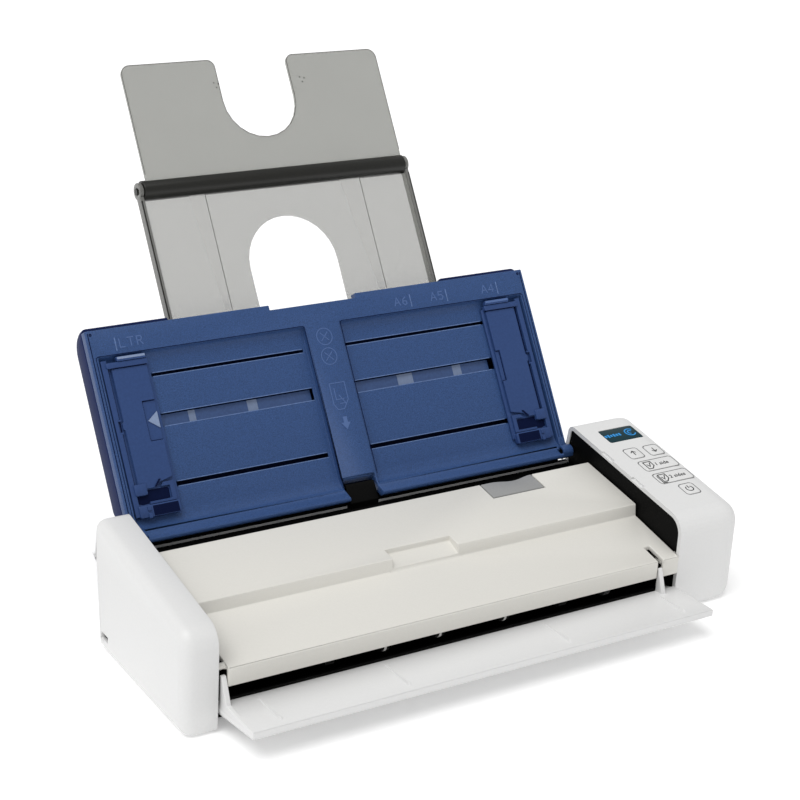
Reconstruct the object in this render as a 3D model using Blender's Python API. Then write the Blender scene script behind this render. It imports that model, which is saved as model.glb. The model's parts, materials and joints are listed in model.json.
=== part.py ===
"""A portable sheet fed document scanner, as separate pieces with their real joints.

Sizes are in millimetres and become metres where a mesh is made. X runs to the right,
Y to the back and Z up, and x = 0 is the middle of the paper path. The empty
"scanner" carries everything, so that the object stands on z = 0 about its own middle.
"""

from math import acos, atan2, cos, hypot, pi, radians, sin, tan

import bmesh
import bpy
from mathutils import Matrix, Vector

MM = 0.001
GAP = 0.3
OVERCUT = 2.0

# Body between the two end caps
RECESS_WIDTH = 247.0
RECESS_OFFSET = 0.5
LEFT_CAP_WIDTH = 16.4
RIGHT_CAP_WIDTH = 37.0
CAP_WALL = 2.2
CAP_FRONT_Y = -46.3
BODY_DEPTH = 90.5
CAP_BOTTOM_Z = 1.2
CAP_CORNER_Z = 48.4
TOP_SLOPE = 9.1
REAR_OVERHANG = 6.4
REAR_STEP = 1.7
REAR_STEP_Z = 44.2
CAP_FRONT_RADIUS = 10.0
CAP_REAR_RADIUS = 4.0
LEFT_EDGE_RADIUS = 5.5
RIGHT_EDGE_RADIUS = 4.0
RIGHT_FOOT_RADIUS = 9.0
INNER_WALL = 1.6
FLOOR = 2.0
FOOT_SIZE = 12.0
FOOT_TALL = 2.4

# Paper path, which falls towards the front
PATH_FRONT_Z = 18.5
PATH_SLOPE = 0.24

# Top cover
COVER_FRONT_Y = -46.9
COVER_LIP_Z = 21.1
COVER_FRONT_Z = 30.2
COVER_STEP_Y = -12.0
COVER_STEP_LOW_Z = 37.1
COVER_STEP_HIGH_Z = 43.1
COVER_BACK_Y = 29.5
COVER_BACK_Z = 49.4
COVER_WALL = 2.0
COVER_PIVOT_Y = -42.2
COVER_PIVOT_Z = 29.0
COVER_PIN_RADIUS = 1.6
RECESS_X = (-17.2, 18.3)
RECESS_DEPTH = 8.5
LATCH_X = (57.0, 88.2)
LATCH_DEPTH = 12.8
LATCH_THICK = 2.4

# Input tray: n is the depth behind the pivot line, v the height along the tray
TRAY_TILT = 33.0
TRAY_PIVOT_Y = 43.8
TRAY_PIVOT_Z = 50.4
TRAY_FACE = 2.0
TRAY_HEIGHT = 98.3
TRAY_SIDE_GAP = 1.3
TRAY_THICK = 17.2
TRAY_WALL = 1.8
WELL_DEPTH = 3.4
WELL_FLOOR = 1.2
WELL_TOP = 85.3
WELL_FOOT = 3.4
WELL_TOP_CURVE = 5.0
WELL_FOOT_CURVE = 8.0
DIP_X = (-26.0, 22.0)
DIP_DEPTH = 2.4
WELL_SIDE = 4.0
RIB_HALF = 9.8
TRAY_PIN_RADIUS = 1.6
SLOTS = ((74.1, 1.6), (52.4, 6.0), (21.8, 2.2))
GUIDE_OUTER = 117.4
GUIDE_INNER = 93.2
GUIDE_HINGE_X = 112.0
GUIDE_THICK = 1.2
GUIDE_FOOT = 8.6
FOOT_BLOCK_TOP = 14.2
FOOT_LUG = 5.6
PLATE_THICK = 1.5
PLATE_FOOT = 24.6
PLATE_TOP = 79.0
RACK_MODULE = 0.8
PINION_TEETH = 14

# Extension of the input tray
EXT_FACE = 6.6
EXT_SHEET = 1.8
EXT_RAIL = 4.6
EXT_LOW_X = (-76.0, 74.6)
EXT_TOP_X = (-70.8, 72.0)
EXT_FOOT = 84.0
EXT_HINGE_V = 163.9
EXT_TUBE_RADIUS = 5.0
EXT_TOP_V = 226.2
ARCH_X = -2.8
ARCH_RADIUS = 24.6
ARCH_TOP_V = 143.6
NOTCH_X = -0.6
NOTCH_RADIUS = 20.2
NOTCH_FOOT_V = 184.6

# Output tray
OUT_FRONT_Y = -75.4
OUT_BACK_Y = -45.9
OUT_TOP_FRONT_Z = 15.1
OUT_TOP_BACK_Z = 14.0
OUT_UNDER_FRONT_Z = 11.7
OUT_THICK = 2.0
OUT_PIVOT_Y = -42.2
OUT_PIVOT_Z = 9.5
OUT_PIN_RADIUS = 1.4
OUT_ARM_TOP_Z = 26.2
ARM_THICK = 2.4
RIGHT_ARM_X = 111.6

# Rollers and gears
FEED_Y = 22.0
FEED_RADIUS = 7.0
DRIVE_Y = -24.0
DRIVE_RADIUS = 5.0
EXIT_Y = -38.0
EXIT_RADIUS = 3.1
SHAFT_RADIUS = 2.0
GEAR_MODULE = 0.8
MOTOR_TEETH = 14
DRIVE_TEETH = 24
FEED_TEETH = 32
TRANSFER_TEETH = 36
GEAR_WIDTH = 3.0
MOTOR_RADIUS = 11.0
MOTOR_LENGTH = 22.0
MOTOR_ANGLE = -65.0
PULLEY_RADIUS = 3.4
BELT_X = (84.0, 88.0)
SENSOR_Y = -2.0
BOARD_X = (-90.0, 60.0)
BOARD_Y = (-14.0, 34.0)
BOARD_Z = 5.8
SENSOR_DEPTH = 14.0

# Operator panel on the right cap: x and distance along the slope from the rear
WINDOW_SIZE = (21.6, 12.0)
WINDOW_Y = 30.8
PANEL_X = 144.9
SMALL_BUTTON = (8.6, 9.2)
WIDE_BUTTON = (21.0, 9.0)
BUTTON_THICK = 3.0
BUTTON_PROUD = 0.2
BUTTONS = (
    ("button_up", -5.6, 12.9, SMALL_BUTTON),
    ("button_down", 6.8, 12.5, SMALL_BUTTON),
    ("button_single_side", 0.9, 0.8, WIDE_BUTTON),
    ("button_both_sides", 0.9, -11.2, WIDE_BUTTON),
    ("button_power", 1.6, -23.4, SMALL_BUTTON),
)

LEFT_X = RECESS_OFFSET - RECESS_WIDTH / 2
RIGHT_X = RECESS_OFFSET + RECESS_WIDTH / 2
CAP_BACK_Y = CAP_FRONT_Y + BODY_DEPTH
ARC_STEPS = 6


def finish(name, colour, roughness, metallic=0.0, alpha=1.0):
    """A Principled material with one colour."""
    material = bpy.data.materials.new(name)
    material.use_nodes = True
    shader = material.node_tree.nodes["Principled BSDF"]
    shader.inputs["Base Color"].default_value = (*colour, 1.0)
    shader.inputs["Roughness"].default_value = roughness
    shader.inputs["Metallic"].default_value = metallic
    shader.inputs["Alpha"].default_value = alpha
    return material


def clear_scene():
    """Takes away whatever the file starts with."""
    for item in list(bpy.data.objects):
        bpy.data.objects.remove(item)


def empty(name, parent=None, place=(0.0, 0.0, 0.0), tilt=0.0):
    """An empty on a joint's axis, placed in its parent's frame and tilted about X."""
    item = bpy.data.objects.new(name, None)
    bpy.context.scene.collection.objects.link(item)
    item.parent = parent
    item.matrix_local = Matrix.Translation(Vector(place) * MM) @ Matrix.Rotation(tilt, 4, "X")
    return item


def build(name, geometry, parent, material=None, origin=(0.0, 0.0, 0.0)):
    """One object from a bmesh in millimetres, whose points are moved by -origin."""
    bmesh.ops.translate(geometry, verts=geometry.verts, vec=-Vector(origin))
    bmesh.ops.scale(geometry, verts=geometry.verts, vec=(MM, MM, MM))
    bmesh.ops.recalc_face_normals(geometry, faces=geometry.faces)
    mesh = bpy.data.meshes.new(name)
    geometry.to_mesh(mesh)
    geometry.free()
    mesh.shade_smooth()
    mesh.set_sharp_from_angle(angle=radians(35))
    item = bpy.data.objects.new(name, mesh)
    bpy.context.scene.collection.objects.link(item)
    item.parent = parent
    if material:
        mesh.materials.append(material)
    return item


def tool(target, geometry, operation="DIFFERENCE", origin=(0.0, 0.0, 0.0)):
    """Cuts or adds a hidden helper shape, kept in the same frame as its target."""
    count = len(target.modifiers)
    helper = build(f"{target.name}_{operation.lower()}_{count}", geometry, target.parent, None, origin)
    helper.hide_render = True
    helper.display_type = "WIRE"
    modifier = target.modifiers.new(f"{operation.lower()}_{count}", "BOOLEAN")
    modifier.operation = operation
    modifier.object = helper


def loft(rings):
    """A closed solid through rings of points that all have the same count."""
    geometry = bmesh.new()
    rows = [[geometry.verts.new(point) for point in ring] for ring in rings]
    count = len(rows[0])
    for low, high in zip(rows, rows[1:]):
        for i in range(count):
            j = (i + 1) % count
            geometry.faces.new((low[i], low[j], high[j], high[i]))
    geometry.faces.new(rows[0][::-1])
    geometry.faces.new(rows[-1])
    return geometry


def rounded(corners, steps=ARC_STEPS):
    """An outline from corners (a, b, radius), each radius drawn as an arc."""
    points = []
    count = len(corners)
    for i, (a, b, radius) in enumerate(corners):
        here = Vector((a, b))
        if radius <= 0:
            points.append(here)
            continue
        before = (Vector(corners[i - 1][:2]) - here).normalized()
        after = (Vector(corners[(i + 1) % count][:2]) - here).normalized()
        half = acos(max(-1.0, min(1.0, before.dot(after)))) / 2
        middle = here + (before + after).normalized() * radius / sin(half)
        start = here + before * radius / tan(half) - middle
        end = here + after * radius / tan(half) - middle
        turn = start.angle_signed(end)
        for k in range(steps + 1):
            spin = -turn * k / steps
            points.append(middle + Matrix.Rotation(spin, 2) @ start)
    return points


def inset(corners, amounts):
    """Moves each side of an outline inward by its own amount, keeping the corners' arcs."""
    count = len(corners)
    points = [Vector(corner[:2]) for corner in corners]
    area = sum(points[i].cross(points[(i + 1) % count]) for i in range(count))
    sides = []
    for i in range(count):
        run = (points[(i + 1) % count] - points[i]).normalized()
        inward = Vector((-run.y, run.x)) * (1 if area > 0 else -1)
        sides.append((points[i] + inward * amounts[i], run))
    moved = []
    for i in range(count):
        (p, r), (q, s) = sides[i - 1], sides[i]
        at = p + r * ((q - p).cross(s) / r.cross(s))
        radius = corners[i][2]
        less = max(amounts[i - 1], amounts[i])
        moved.append((at.x, at.y, max(radius - less, 0.2) if radius > 0 else 0))
    return moved


def along_x(outline, low, high):
    """A prism from an outline in Y and Z."""
    return loft([[(x, a, b) for a, b in outline] for x in (low, high)])


def along_y(outline, low, high):
    """A prism from an outline in X and Z."""
    return loft([[(a, y, b) for a, b in outline] for y in (low, high)])


def box(x, y, z, radius=0.0):
    """A box between pairs of limits, its long edges along Y rounded if asked."""
    corners = [(x[0], z[0], radius), (x[1], z[0], radius), (x[1], z[1], radius), (x[0], z[1], radius)]
    return along_y(rounded(corners, 4), y[0], y[1])


def turned(profile, y, z, sides=20):
    """A body turned about a line along X from (x, radius) steps."""
    rings = []
    for x, radius in profile:
        ring = []
        for k in range(sides):
            angle = 2 * pi * k / sides
            ring.append((x, y + radius * cos(angle), z + radius * sin(angle)))
        rings.append(ring)
    return loft(rings)


def path_z(y):
    """Height of the paper path."""
    return PATH_FRONT_Z + PATH_SLOPE * (y - CAP_FRONT_Y)


def top_z(y):
    """Height of the caps' sloping top."""
    return CAP_CORNER_Z + tan(radians(TOP_SLOPE)) * (y - CAP_FRONT_Y)


def cap_corners():
    """The side outline of the body, from the front foot over the top to the rear foot."""
    back = CAP_BACK_Y + REAR_OVERHANG
    crest = back - 2.9
    return [
        (CAP_FRONT_Y, CAP_BOTTOM_Z, 1.0),
        (CAP_FRONT_Y, CAP_CORNER_Z, CAP_FRONT_RADIUS),
        (crest, top_z(crest), CAP_REAR_RADIUS),
        (back, REAR_STEP_Z + 0.2, 0.6),
        (back - REAR_STEP, REAR_STEP_Z, 0),
        (CAP_BACK_Y, CAP_BOTTOM_Z, 1.5),
    ]


def cap_rings(inner_x, outer_x, radius, foot, wall=0.0):
    """Rings of a cap whose outer edges are rounded, each wall thinner than the last."""
    side = 1 if outer_x > inner_x else -1
    base = inset(cap_corners(), [wall] * 6)
    rings = [(inner_x, 0.0, 0.0)]
    big = max(radius, foot) - wall
    end = outer_x - side * wall
    rings += [(end - side * big * (1 - sin(pi / 2 * k / 5)), k / 5, 1.0) for k in range(6)]
    solid = []
    for x, share, _ in rings:
        drop = 1 - cos(pi / 2 * share)
        around = max(radius - wall, 0.3) * drop
        down = max(foot - wall, 0.3) * drop
        shape = inset(base, [around, around, around, 0, around, down])
        solid.append([(x, a, b) for a, b in rounded(shape)])
    return solid


def cap_hole_x(x0, x1, y, z, radius):
    """A round cutter along X."""
    return turned([(x0, radius), (x1, radius)], y, z, 16)


def slope_block(x, y, low, high, radius):
    """A rounded block that follows the caps' sloping top, between two depths below it."""
    tilt = radians(TOP_SLOPE)
    middle = sum(y) / 2
    half = (y[1] - y[0]) / 2
    corners = [(x[0], -half, radius), (x[1], -half, radius), (x[1], half, radius), (x[0], half, radius)]
    rings = []
    for depth in (low, high):
        ring = []
        for a, b in rounded(corners, 4):
            spot = Matrix.Rotation(tilt, 2) @ Vector((b, depth))
            ring.append((a, middle + spot.x, top_z(middle) + spot.y))
        rings.append(ring)
    return loft(rings)


def make_housing(root, looks):
    """The two end caps, their inner walls, the floor pan, the rear cover and the feet."""
    left = build(
        "left_end_cap",
        loft(cap_rings(LEFT_X, LEFT_X - LEFT_CAP_WIDTH, LEFT_EDGE_RADIUS, 3.5)),
        root, looks["white"],
    )
    tool(left, loft(cap_rings(LEFT_X + OVERCUT, LEFT_X - LEFT_CAP_WIDTH, LEFT_EDGE_RADIUS, 3.5, CAP_WALL)))
    lock_y = CAP_BACK_Y - 12
    tool(left, box((LEFT_X - LEFT_CAP_WIDTH - 1, LEFT_X - LEFT_CAP_WIDTH + 4), (lock_y, lock_y + 7), (7, 10)))
    right_outer = RIGHT_X + RIGHT_CAP_WIDTH
    right = build(
        "right_end_cap",
        loft(cap_rings(RIGHT_X, right_outer, RIGHT_EDGE_RADIUS, RIGHT_FOOT_RADIUS)),
        root, looks["white"],
    )
    tool(right, loft(cap_rings(RIGHT_X - OVERCUT, right_outer, RIGHT_EDGE_RADIUS, RIGHT_FOOT_RADIUS, CAP_WALL)))
    for low in (10.4, -14.4):
        tool(right, slope_block((RIGHT_X - 1, RIGHT_X + 1.4), (low, low + 9.2), -1.2, 3, 0))
    window_x = (PANEL_X - WINDOW_SIZE[0] / 2 - 0.4, PANEL_X + WINDOW_SIZE[0] / 2 - 0.4)
    window_y = (WINDOW_Y - WINDOW_SIZE[1] / 2, WINDOW_Y + WINDOW_SIZE[1] / 2)
    tool(right, slope_block(window_x, window_y, -4, 3, 1.2))
    build(
        "display_window",
        slope_block(
            (window_x[0] + GAP, window_x[1] - GAP), (window_y[0] + GAP, window_y[1] - GAP), -1.8, -0.1, 1.0
        ),
        root, looks["display"],
    )
    build(
        "display_module",
        slope_block((window_x[0] + 1, window_x[1] - 1), (window_y[0] + 1, window_y[1] - 1), -5.0, -2.2, 0.6),
        root, looks["board"],
    )
    for name, x, y, size in BUTTONS:
        tool(right, slope_block(*button_limits(x, y, size, 0.0), -4, 3, 1.6))
    shape = inset(cap_corners(), [CAP_WALL + GAP] * 6)
    pivots = (
        (TRAY_PIVOT_Y, TRAY_PIVOT_Z, TRAY_PIN_RADIUS + GAP),
        (COVER_PIVOT_Y, COVER_PIVOT_Z, COVER_PIN_RADIUS + GAP),
        (OUT_PIVOT_Y, OUT_PIVOT_Z, OUT_PIN_RADIUS + GAP),
    )
    shafts = (
        (FEED_Y, path_z(FEED_Y) - FEED_RADIUS, SHAFT_RADIUS + GAP),
        (DRIVE_Y, path_z(DRIVE_Y) - DRIVE_RADIUS, SHAFT_RADIUS + GAP),
    )
    for name, low in (("left_inner_wall", LEFT_X - 0.4 - INNER_WALL), ("right_inner_wall", RIGHT_X + 0.4)):
        wall = build(name, along_x(rounded(shape), low, low + INNER_WALL), root, looks["black"])
        for y, z, radius in pivots + shafts:
            tool(wall, cap_hole_x(low - 1, low + INNER_WALL + 1, y, z, radius))
    pan_x = (LEFT_X + GAP, RIGHT_X - GAP)
    pan_y = (CAP_FRONT_Y + 8.2, CAP_BACK_Y - 1.0)
    pan_z = (CAP_BOTTOM_Z, CAP_BOTTOM_Z + 9.0)
    pan = build("base_pan", box(pan_x, pan_y, pan_z), root, looks["black"])
    tool(pan, box(
        (pan_x[0] + FLOOR, pan_x[1] - FLOOR), (pan_y[0] + FLOOR, pan_y[1] - FLOOR),
        (pan_z[0] + FLOOR, pan_z[1] + OVERCUT),
    ))
    for x in (BOARD_X[0] + 4, BOARD_X[1] - 4):
        for y in (BOARD_Y[0] + 4, BOARD_Y[1] - 4):
            tool(pan, box((x - 2, x + 2), (y - 2, y + 2), (pan_z[0] + 1, BOARD_Z - GAP)), "UNION")
    reach = FOOT_SIZE / 2
    for across, x in (("left", pan_x[0] + 12), ("right", pan_x[1] - 12)):
        for along, y in (("front", pan_y[0] + 10), ("rear", pan_y[1] - 10)):
            span = ((x - reach, x + reach), (y - reach / 2, y + reach / 2))
            wide = [(low - GAP, high + GAP) for low, high in span]
            tool(pan, box(*wide, (-1, CAP_BOTTOM_Z + 1.5)))
            build(f"foot_{along}_{across}", box(*span, (0, CAP_BOTTOM_Z + 1.5 - GAP)), root, looks["rubber"])
    slope = (REAR_OVERHANG - REAR_STEP) / (REAR_STEP_Z - CAP_BOTTOM_Z)
    rise = REAR_STEP_Z - CAP_BOTTOM_Z - 0.4
    foot_y = CAP_BACK_Y - 0.6
    rear = build(
        "rear_cover",
        along_x(
            [
                (foot_y, CAP_BOTTOM_Z), (foot_y + slope * rise, CAP_BOTTOM_Z + rise),
                (foot_y + slope * rise - FLOOR, CAP_BOTTOM_Z + rise),
                (foot_y + slope * 12 - FLOOR, CAP_BOTTOM_Z + 12), (foot_y - 0.1, CAP_BOTTOM_Z + 12),
                (foot_y - 0.1, CAP_BOTTOM_Z),
            ],
            pan_x[0], pan_x[1],
        ),
        root, looks["white"],
    )
    ports = (("usb_socket", 70.0, 9.4, 4.2), ("power_socket", 96.0, 8.0, 8.0))
    for name, x, wide, tall in ports:
        span = ((x - wide / 2, x + wide / 2), (foot_y - 8, foot_y + 1.2), (18, 18 + tall))
        tool(rear, box(
            (span[0][0] - GAP, span[0][1] + GAP), (foot_y - 6, foot_y + 9), (18 - GAP, 18 + tall + GAP)
        ))
        socket = build(name, box(*span), root, looks["steel"])
        tool(socket, box(
            (span[0][0] + 1, span[0][1] - 1), (span[1][0] + 2, span[1][1] + 1), (19, 17 + tall)
        ))
    return right


def button_limits(x, y, size, less):
    """The x and y limits of a button's opening, made smaller by a gap all round."""
    centre = PANEL_X + x
    return (
        (centre - size[0] / 2 + less, centre + size[0] / 2 - less),
        (y - size[1] / 2 + less, y + size[1] / 2 - less),
    )


def make_buttons(root, looks):
    """Five push buttons that travel into the cap, and the board that they press on."""
    for name, x, y, size in BUTTONS:
        axis = empty(f"{name}_axis", root, (PANEL_X + x, y, top_z(y)))
        build(
            name,
            slope_block(*button_limits(x, y, size, GAP), -BUTTON_THICK, BUTTON_PROUD, 1.5),
            axis, looks["white"], (PANEL_X + x, y, top_z(y)),
        )
    board_x = (RIGHT_X + 7.6, RIGHT_X + RIGHT_CAP_WIDTH - 5)
    build("button_board", slope_block(board_x, (-29, 37), -7.4, -6.0, 0), root, looks["board"])


def cover_outline():
    """The section of the top cover, a folded skin of one wall thickness."""
    w = COVER_WALL
    back_low = COVER_BACK_Z - 4.6
    return [
        (COVER_FRONT_Y, COVER_LIP_Z), (COVER_FRONT_Y, COVER_FRONT_Z - 0.6),
        (COVER_FRONT_Y + 0.6, COVER_FRONT_Z), (COVER_STEP_Y, COVER_STEP_LOW_Z),
        (COVER_STEP_Y + 0.8, COVER_STEP_HIGH_Z), (COVER_BACK_Y - 0.4, COVER_BACK_Z),
        (COVER_BACK_Y, COVER_BACK_Z - 0.4), (COVER_BACK_Y, back_low), (COVER_BACK_Y - w, back_low),
        (COVER_BACK_Y - w, COVER_BACK_Z - w), (COVER_STEP_Y + 2.4, COVER_STEP_HIGH_Z - w),
        (COVER_STEP_Y + 1.6, COVER_STEP_LOW_Z - w), (COVER_FRONT_Y + w, COVER_FRONT_Z - w),
        (COVER_FRONT_Y + w, COVER_LIP_Z),
    ]


def arm_slots(clearance=0.5):
    """The x limits of the two slots that the output tray's arms swing through."""
    left = LEFT_X + TRAY_SIDE_GAP + ARM_THICK + clearance
    return (
        (LEFT_X - 1, left),
        (RIGHT_ARM_X - clearance, RIGHT_ARM_X + ARM_THICK + clearance),
    )


def cover_surface_z(y):
    """The height of the cover's rear, raised part."""
    run = COVER_BACK_Y - COVER_STEP_Y
    return COVER_BACK_Z + (COVER_BACK_Z - COVER_STEP_HIGH_Z) / run * (y - COVER_BACK_Y)


def make_cover(root, looks):
    """The ivory cover with its inner frame, the latch and the pins that it opens on."""
    origin = (0, COVER_PIVOT_Y, COVER_PIVOT_Z)
    axis = empty("cover_axis", root, origin)
    span = (LEFT_X + GAP, RIGHT_X - GAP)
    cover = build("top_cover", along_x(cover_outline(), *span), axis, looks["ivory"], origin)
    for low, high in arm_slots():
        tool(cover, box((low, high), (COVER_FRONT_Y - 1, COVER_FRONT_Y + 12), (15, 40)), origin=origin)
    scoop = [
        (COVER_STEP_Y - 6, COVER_STEP_LOW_Z - 0.9), (COVER_STEP_Y + RECESS_DEPTH, COVER_STEP_HIGH_Z - 1.4),
        (COVER_STEP_Y + RECESS_DEPTH, COVER_BACK_Z), (COVER_STEP_Y - 6, COVER_BACK_Z),
    ]
    floor = [
        (COVER_STEP_Y - 1, COVER_STEP_LOW_Z - 3.0),
        (COVER_STEP_Y + RECESS_DEPTH + 1.6, COVER_STEP_HIGH_Z - 3.4),
        (COVER_STEP_Y + RECESS_DEPTH + 1.6, COVER_STEP_HIGH_Z - 0.3),
        (COVER_STEP_Y + 3, COVER_STEP_HIGH_Z - 1.0), (COVER_STEP_Y - 1, COVER_STEP_LOW_Z - 0.6),
    ]
    tool(cover, along_x(floor, RECESS_X[0] - 1.5, RECESS_X[1] + 1.5), "UNION", origin)
    tool(cover, along_x(scoop, *RECESS_X), origin=origin)
    latch_front = COVER_BACK_Y - LATCH_DEPTH
    tool(cover, box(LATCH_X, (latch_front, COVER_BACK_Y + 2), (40, 60)), origin=origin)
    for end in span:
        side = 1 if end < 0 else -1
        tool(cover, turned(
            [(end - side * 3.0, COVER_PIN_RADIUS), (end + side * 8.0, COVER_PIN_RADIUS)],
            COVER_PIVOT_Y, COVER_PIVOT_Z, 16,
        ), "UNION", origin)
        inner = sorted((end + side * 5.4, end + side * 9.0))
        tool(cover, box(
            inner, (COVER_FRONT_Y + 0.5, COVER_PIVOT_Y + 2.4),
            (COVER_PIVOT_Z - 2.4, COVER_PIVOT_Z + 1.0),
        ), "UNION", origin)

    frame_x = (span[0] + 6, RIGHT_ARM_X - 1.0)
    front = COVER_FRONT_Y + 8.0
    back = COVER_BACK_Y - COVER_WALL - GAP
    lift = 0.7
    under = COVER_WALL + GAP
    frame = build(
        "cover_frame",
        along_x(
            [
                (front, path_z(front) + lift), (front, COVER_FRONT_Z - under),
                (COVER_STEP_Y + 1.9, COVER_STEP_LOW_Z - under - 0.2),
                (COVER_STEP_Y + RECESS_DEPTH + 2.4, COVER_STEP_LOW_Z - under + 1.4),
                (COVER_STEP_Y + RECESS_DEPTH + 2.4, cover_surface_z(COVER_STEP_Y + 12) - under - 0.6),
                (back, cover_surface_z(back) - under - 0.6),
                (back, path_z(back) + lift),
            ],
            *frame_x,
        ),
        axis, looks["black"], origin,
    )
    latch_box = (LATCH_X[0] - 1, LATCH_X[1] + 1)
    tool(frame, box(latch_box, (latch_front - 1, COVER_BACK_Y + 2), (39.0, 60)), origin=origin)
    make_upper_scan_parts(frame, axis, origin, looks)

    pivot = (0, latch_front + 1.6, cover_surface_z(latch_front) - 1.0)
    latch_axis = empty("latch_axis", axis, tuple(a - b for a, b in zip(pivot, origin)))
    outline = [(LATCH_X[0] + 0.5, latch_front + 0.6), (LATCH_X[1] - 0.5, latch_front + 0.6)]
    waves = 14
    for k in range(waves + 1):
        share = k / waves
        x = LATCH_X[1] - 0.5 - share * (LATCH_X[1] - LATCH_X[0] - 1.0)
        bow = -1.1 + 1.0 * cos(2 * pi * min(share * 1.25, 1.0))
        outline.append((x, COVER_BACK_Y + bow))
    rings = []
    for drop in (LATCH_THICK, 0.0):
        rings.append([(a, b, cover_surface_z(b) - drop) for a, b in outline])
    build("cover_latch", loft(rings), latch_axis, looks["grey"], pivot)


def make_upper_scan_parts(frame, axis, origin, looks):
    """The upper image sensor and its glass, the separation pad and the pinch roller."""
    length = (-108.0, 104.0)
    y = (SENSOR_Y - 2.0, SENSOR_Y - 2.0 + SENSOR_DEPTH)
    low = path_z(y[0]) + 0.4
    tool(frame, box((length[0] - GAP, length[1] + GAP), (y[0] - GAP, y[1] + GAP), (10, low + 5.4)), origin=origin)
    glass_top = low + 1.2 + PATH_SLOPE * SENSOR_DEPTH
    build("upper_scan_glass", box(length, y, (path_z(y[1]) + 0.2, glass_top)), axis, looks["glass"], origin)
    build("upper_image_sensor", box(
        length, y, (glass_top + GAP, low + 6.6 - GAP)
    ), axis, looks["black"], origin)
    tool(frame, box((length[0] - GAP, length[1] + GAP), (y[0] - GAP, y[1] + GAP), (10, low + 6.9)), origin=origin)
    pad_y = (FEED_Y - 6, FEED_Y + 3)
    tool(frame, box((-12, 12), (pad_y[0] - GAP, pad_y[1] + GAP), (10, path_z(FEED_Y) + 4.0)), origin=origin)
    build("separation_pad", box(
        (-11, 11), pad_y, (path_z(pad_y[1]) + 0.5, path_z(FEED_Y) + 2.4)
    ), axis, looks["rubber"], origin)
    build("pad_spring", box(
        (-8, 8), (pad_y[0] + 1, pad_y[1] - 1), (path_z(FEED_Y) + 2.7, path_z(FEED_Y) + 3.3)
    ), axis, looks["steel"], origin)


def tray_ends():
    """The x limits of the input tray, just clear of the caps."""
    return LEFT_X + TRAY_SIDE_GAP, RIGHT_X - TRAY_SIDE_GAP


def tray_box(x, n, v, radius=0.0):
    """A box in the tray's own frame, where n is measured from the tray's front face."""
    return box(x, (n[0] + TRAY_FACE, n[1] + TRAY_FACE), v, radius)


def well_outline(face):
    """The section of a well in n and v, whose floor curves up to the face at both ends."""
    floor = face + WELL_DEPTH
    points = [(face - 1, WELL_FOOT - 0.4)]
    for end, curve, way in ((WELL_FOOT, WELL_FOOT_CURVE, 1), (WELL_TOP, WELL_TOP_CURVE, -1)):
        arc = []
        for k in range(7):
            turn = pi / 2 * k / 6
            arc.append((face + WELL_DEPTH * sin(turn), end + way * curve * (1 - cos(turn))))
        points += arc if way > 0 else arc[::-1]
    points[-7] = (floor, WELL_TOP - WELL_TOP_CURVE)
    return points + [(face - 1, WELL_TOP + 0.4)]


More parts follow.
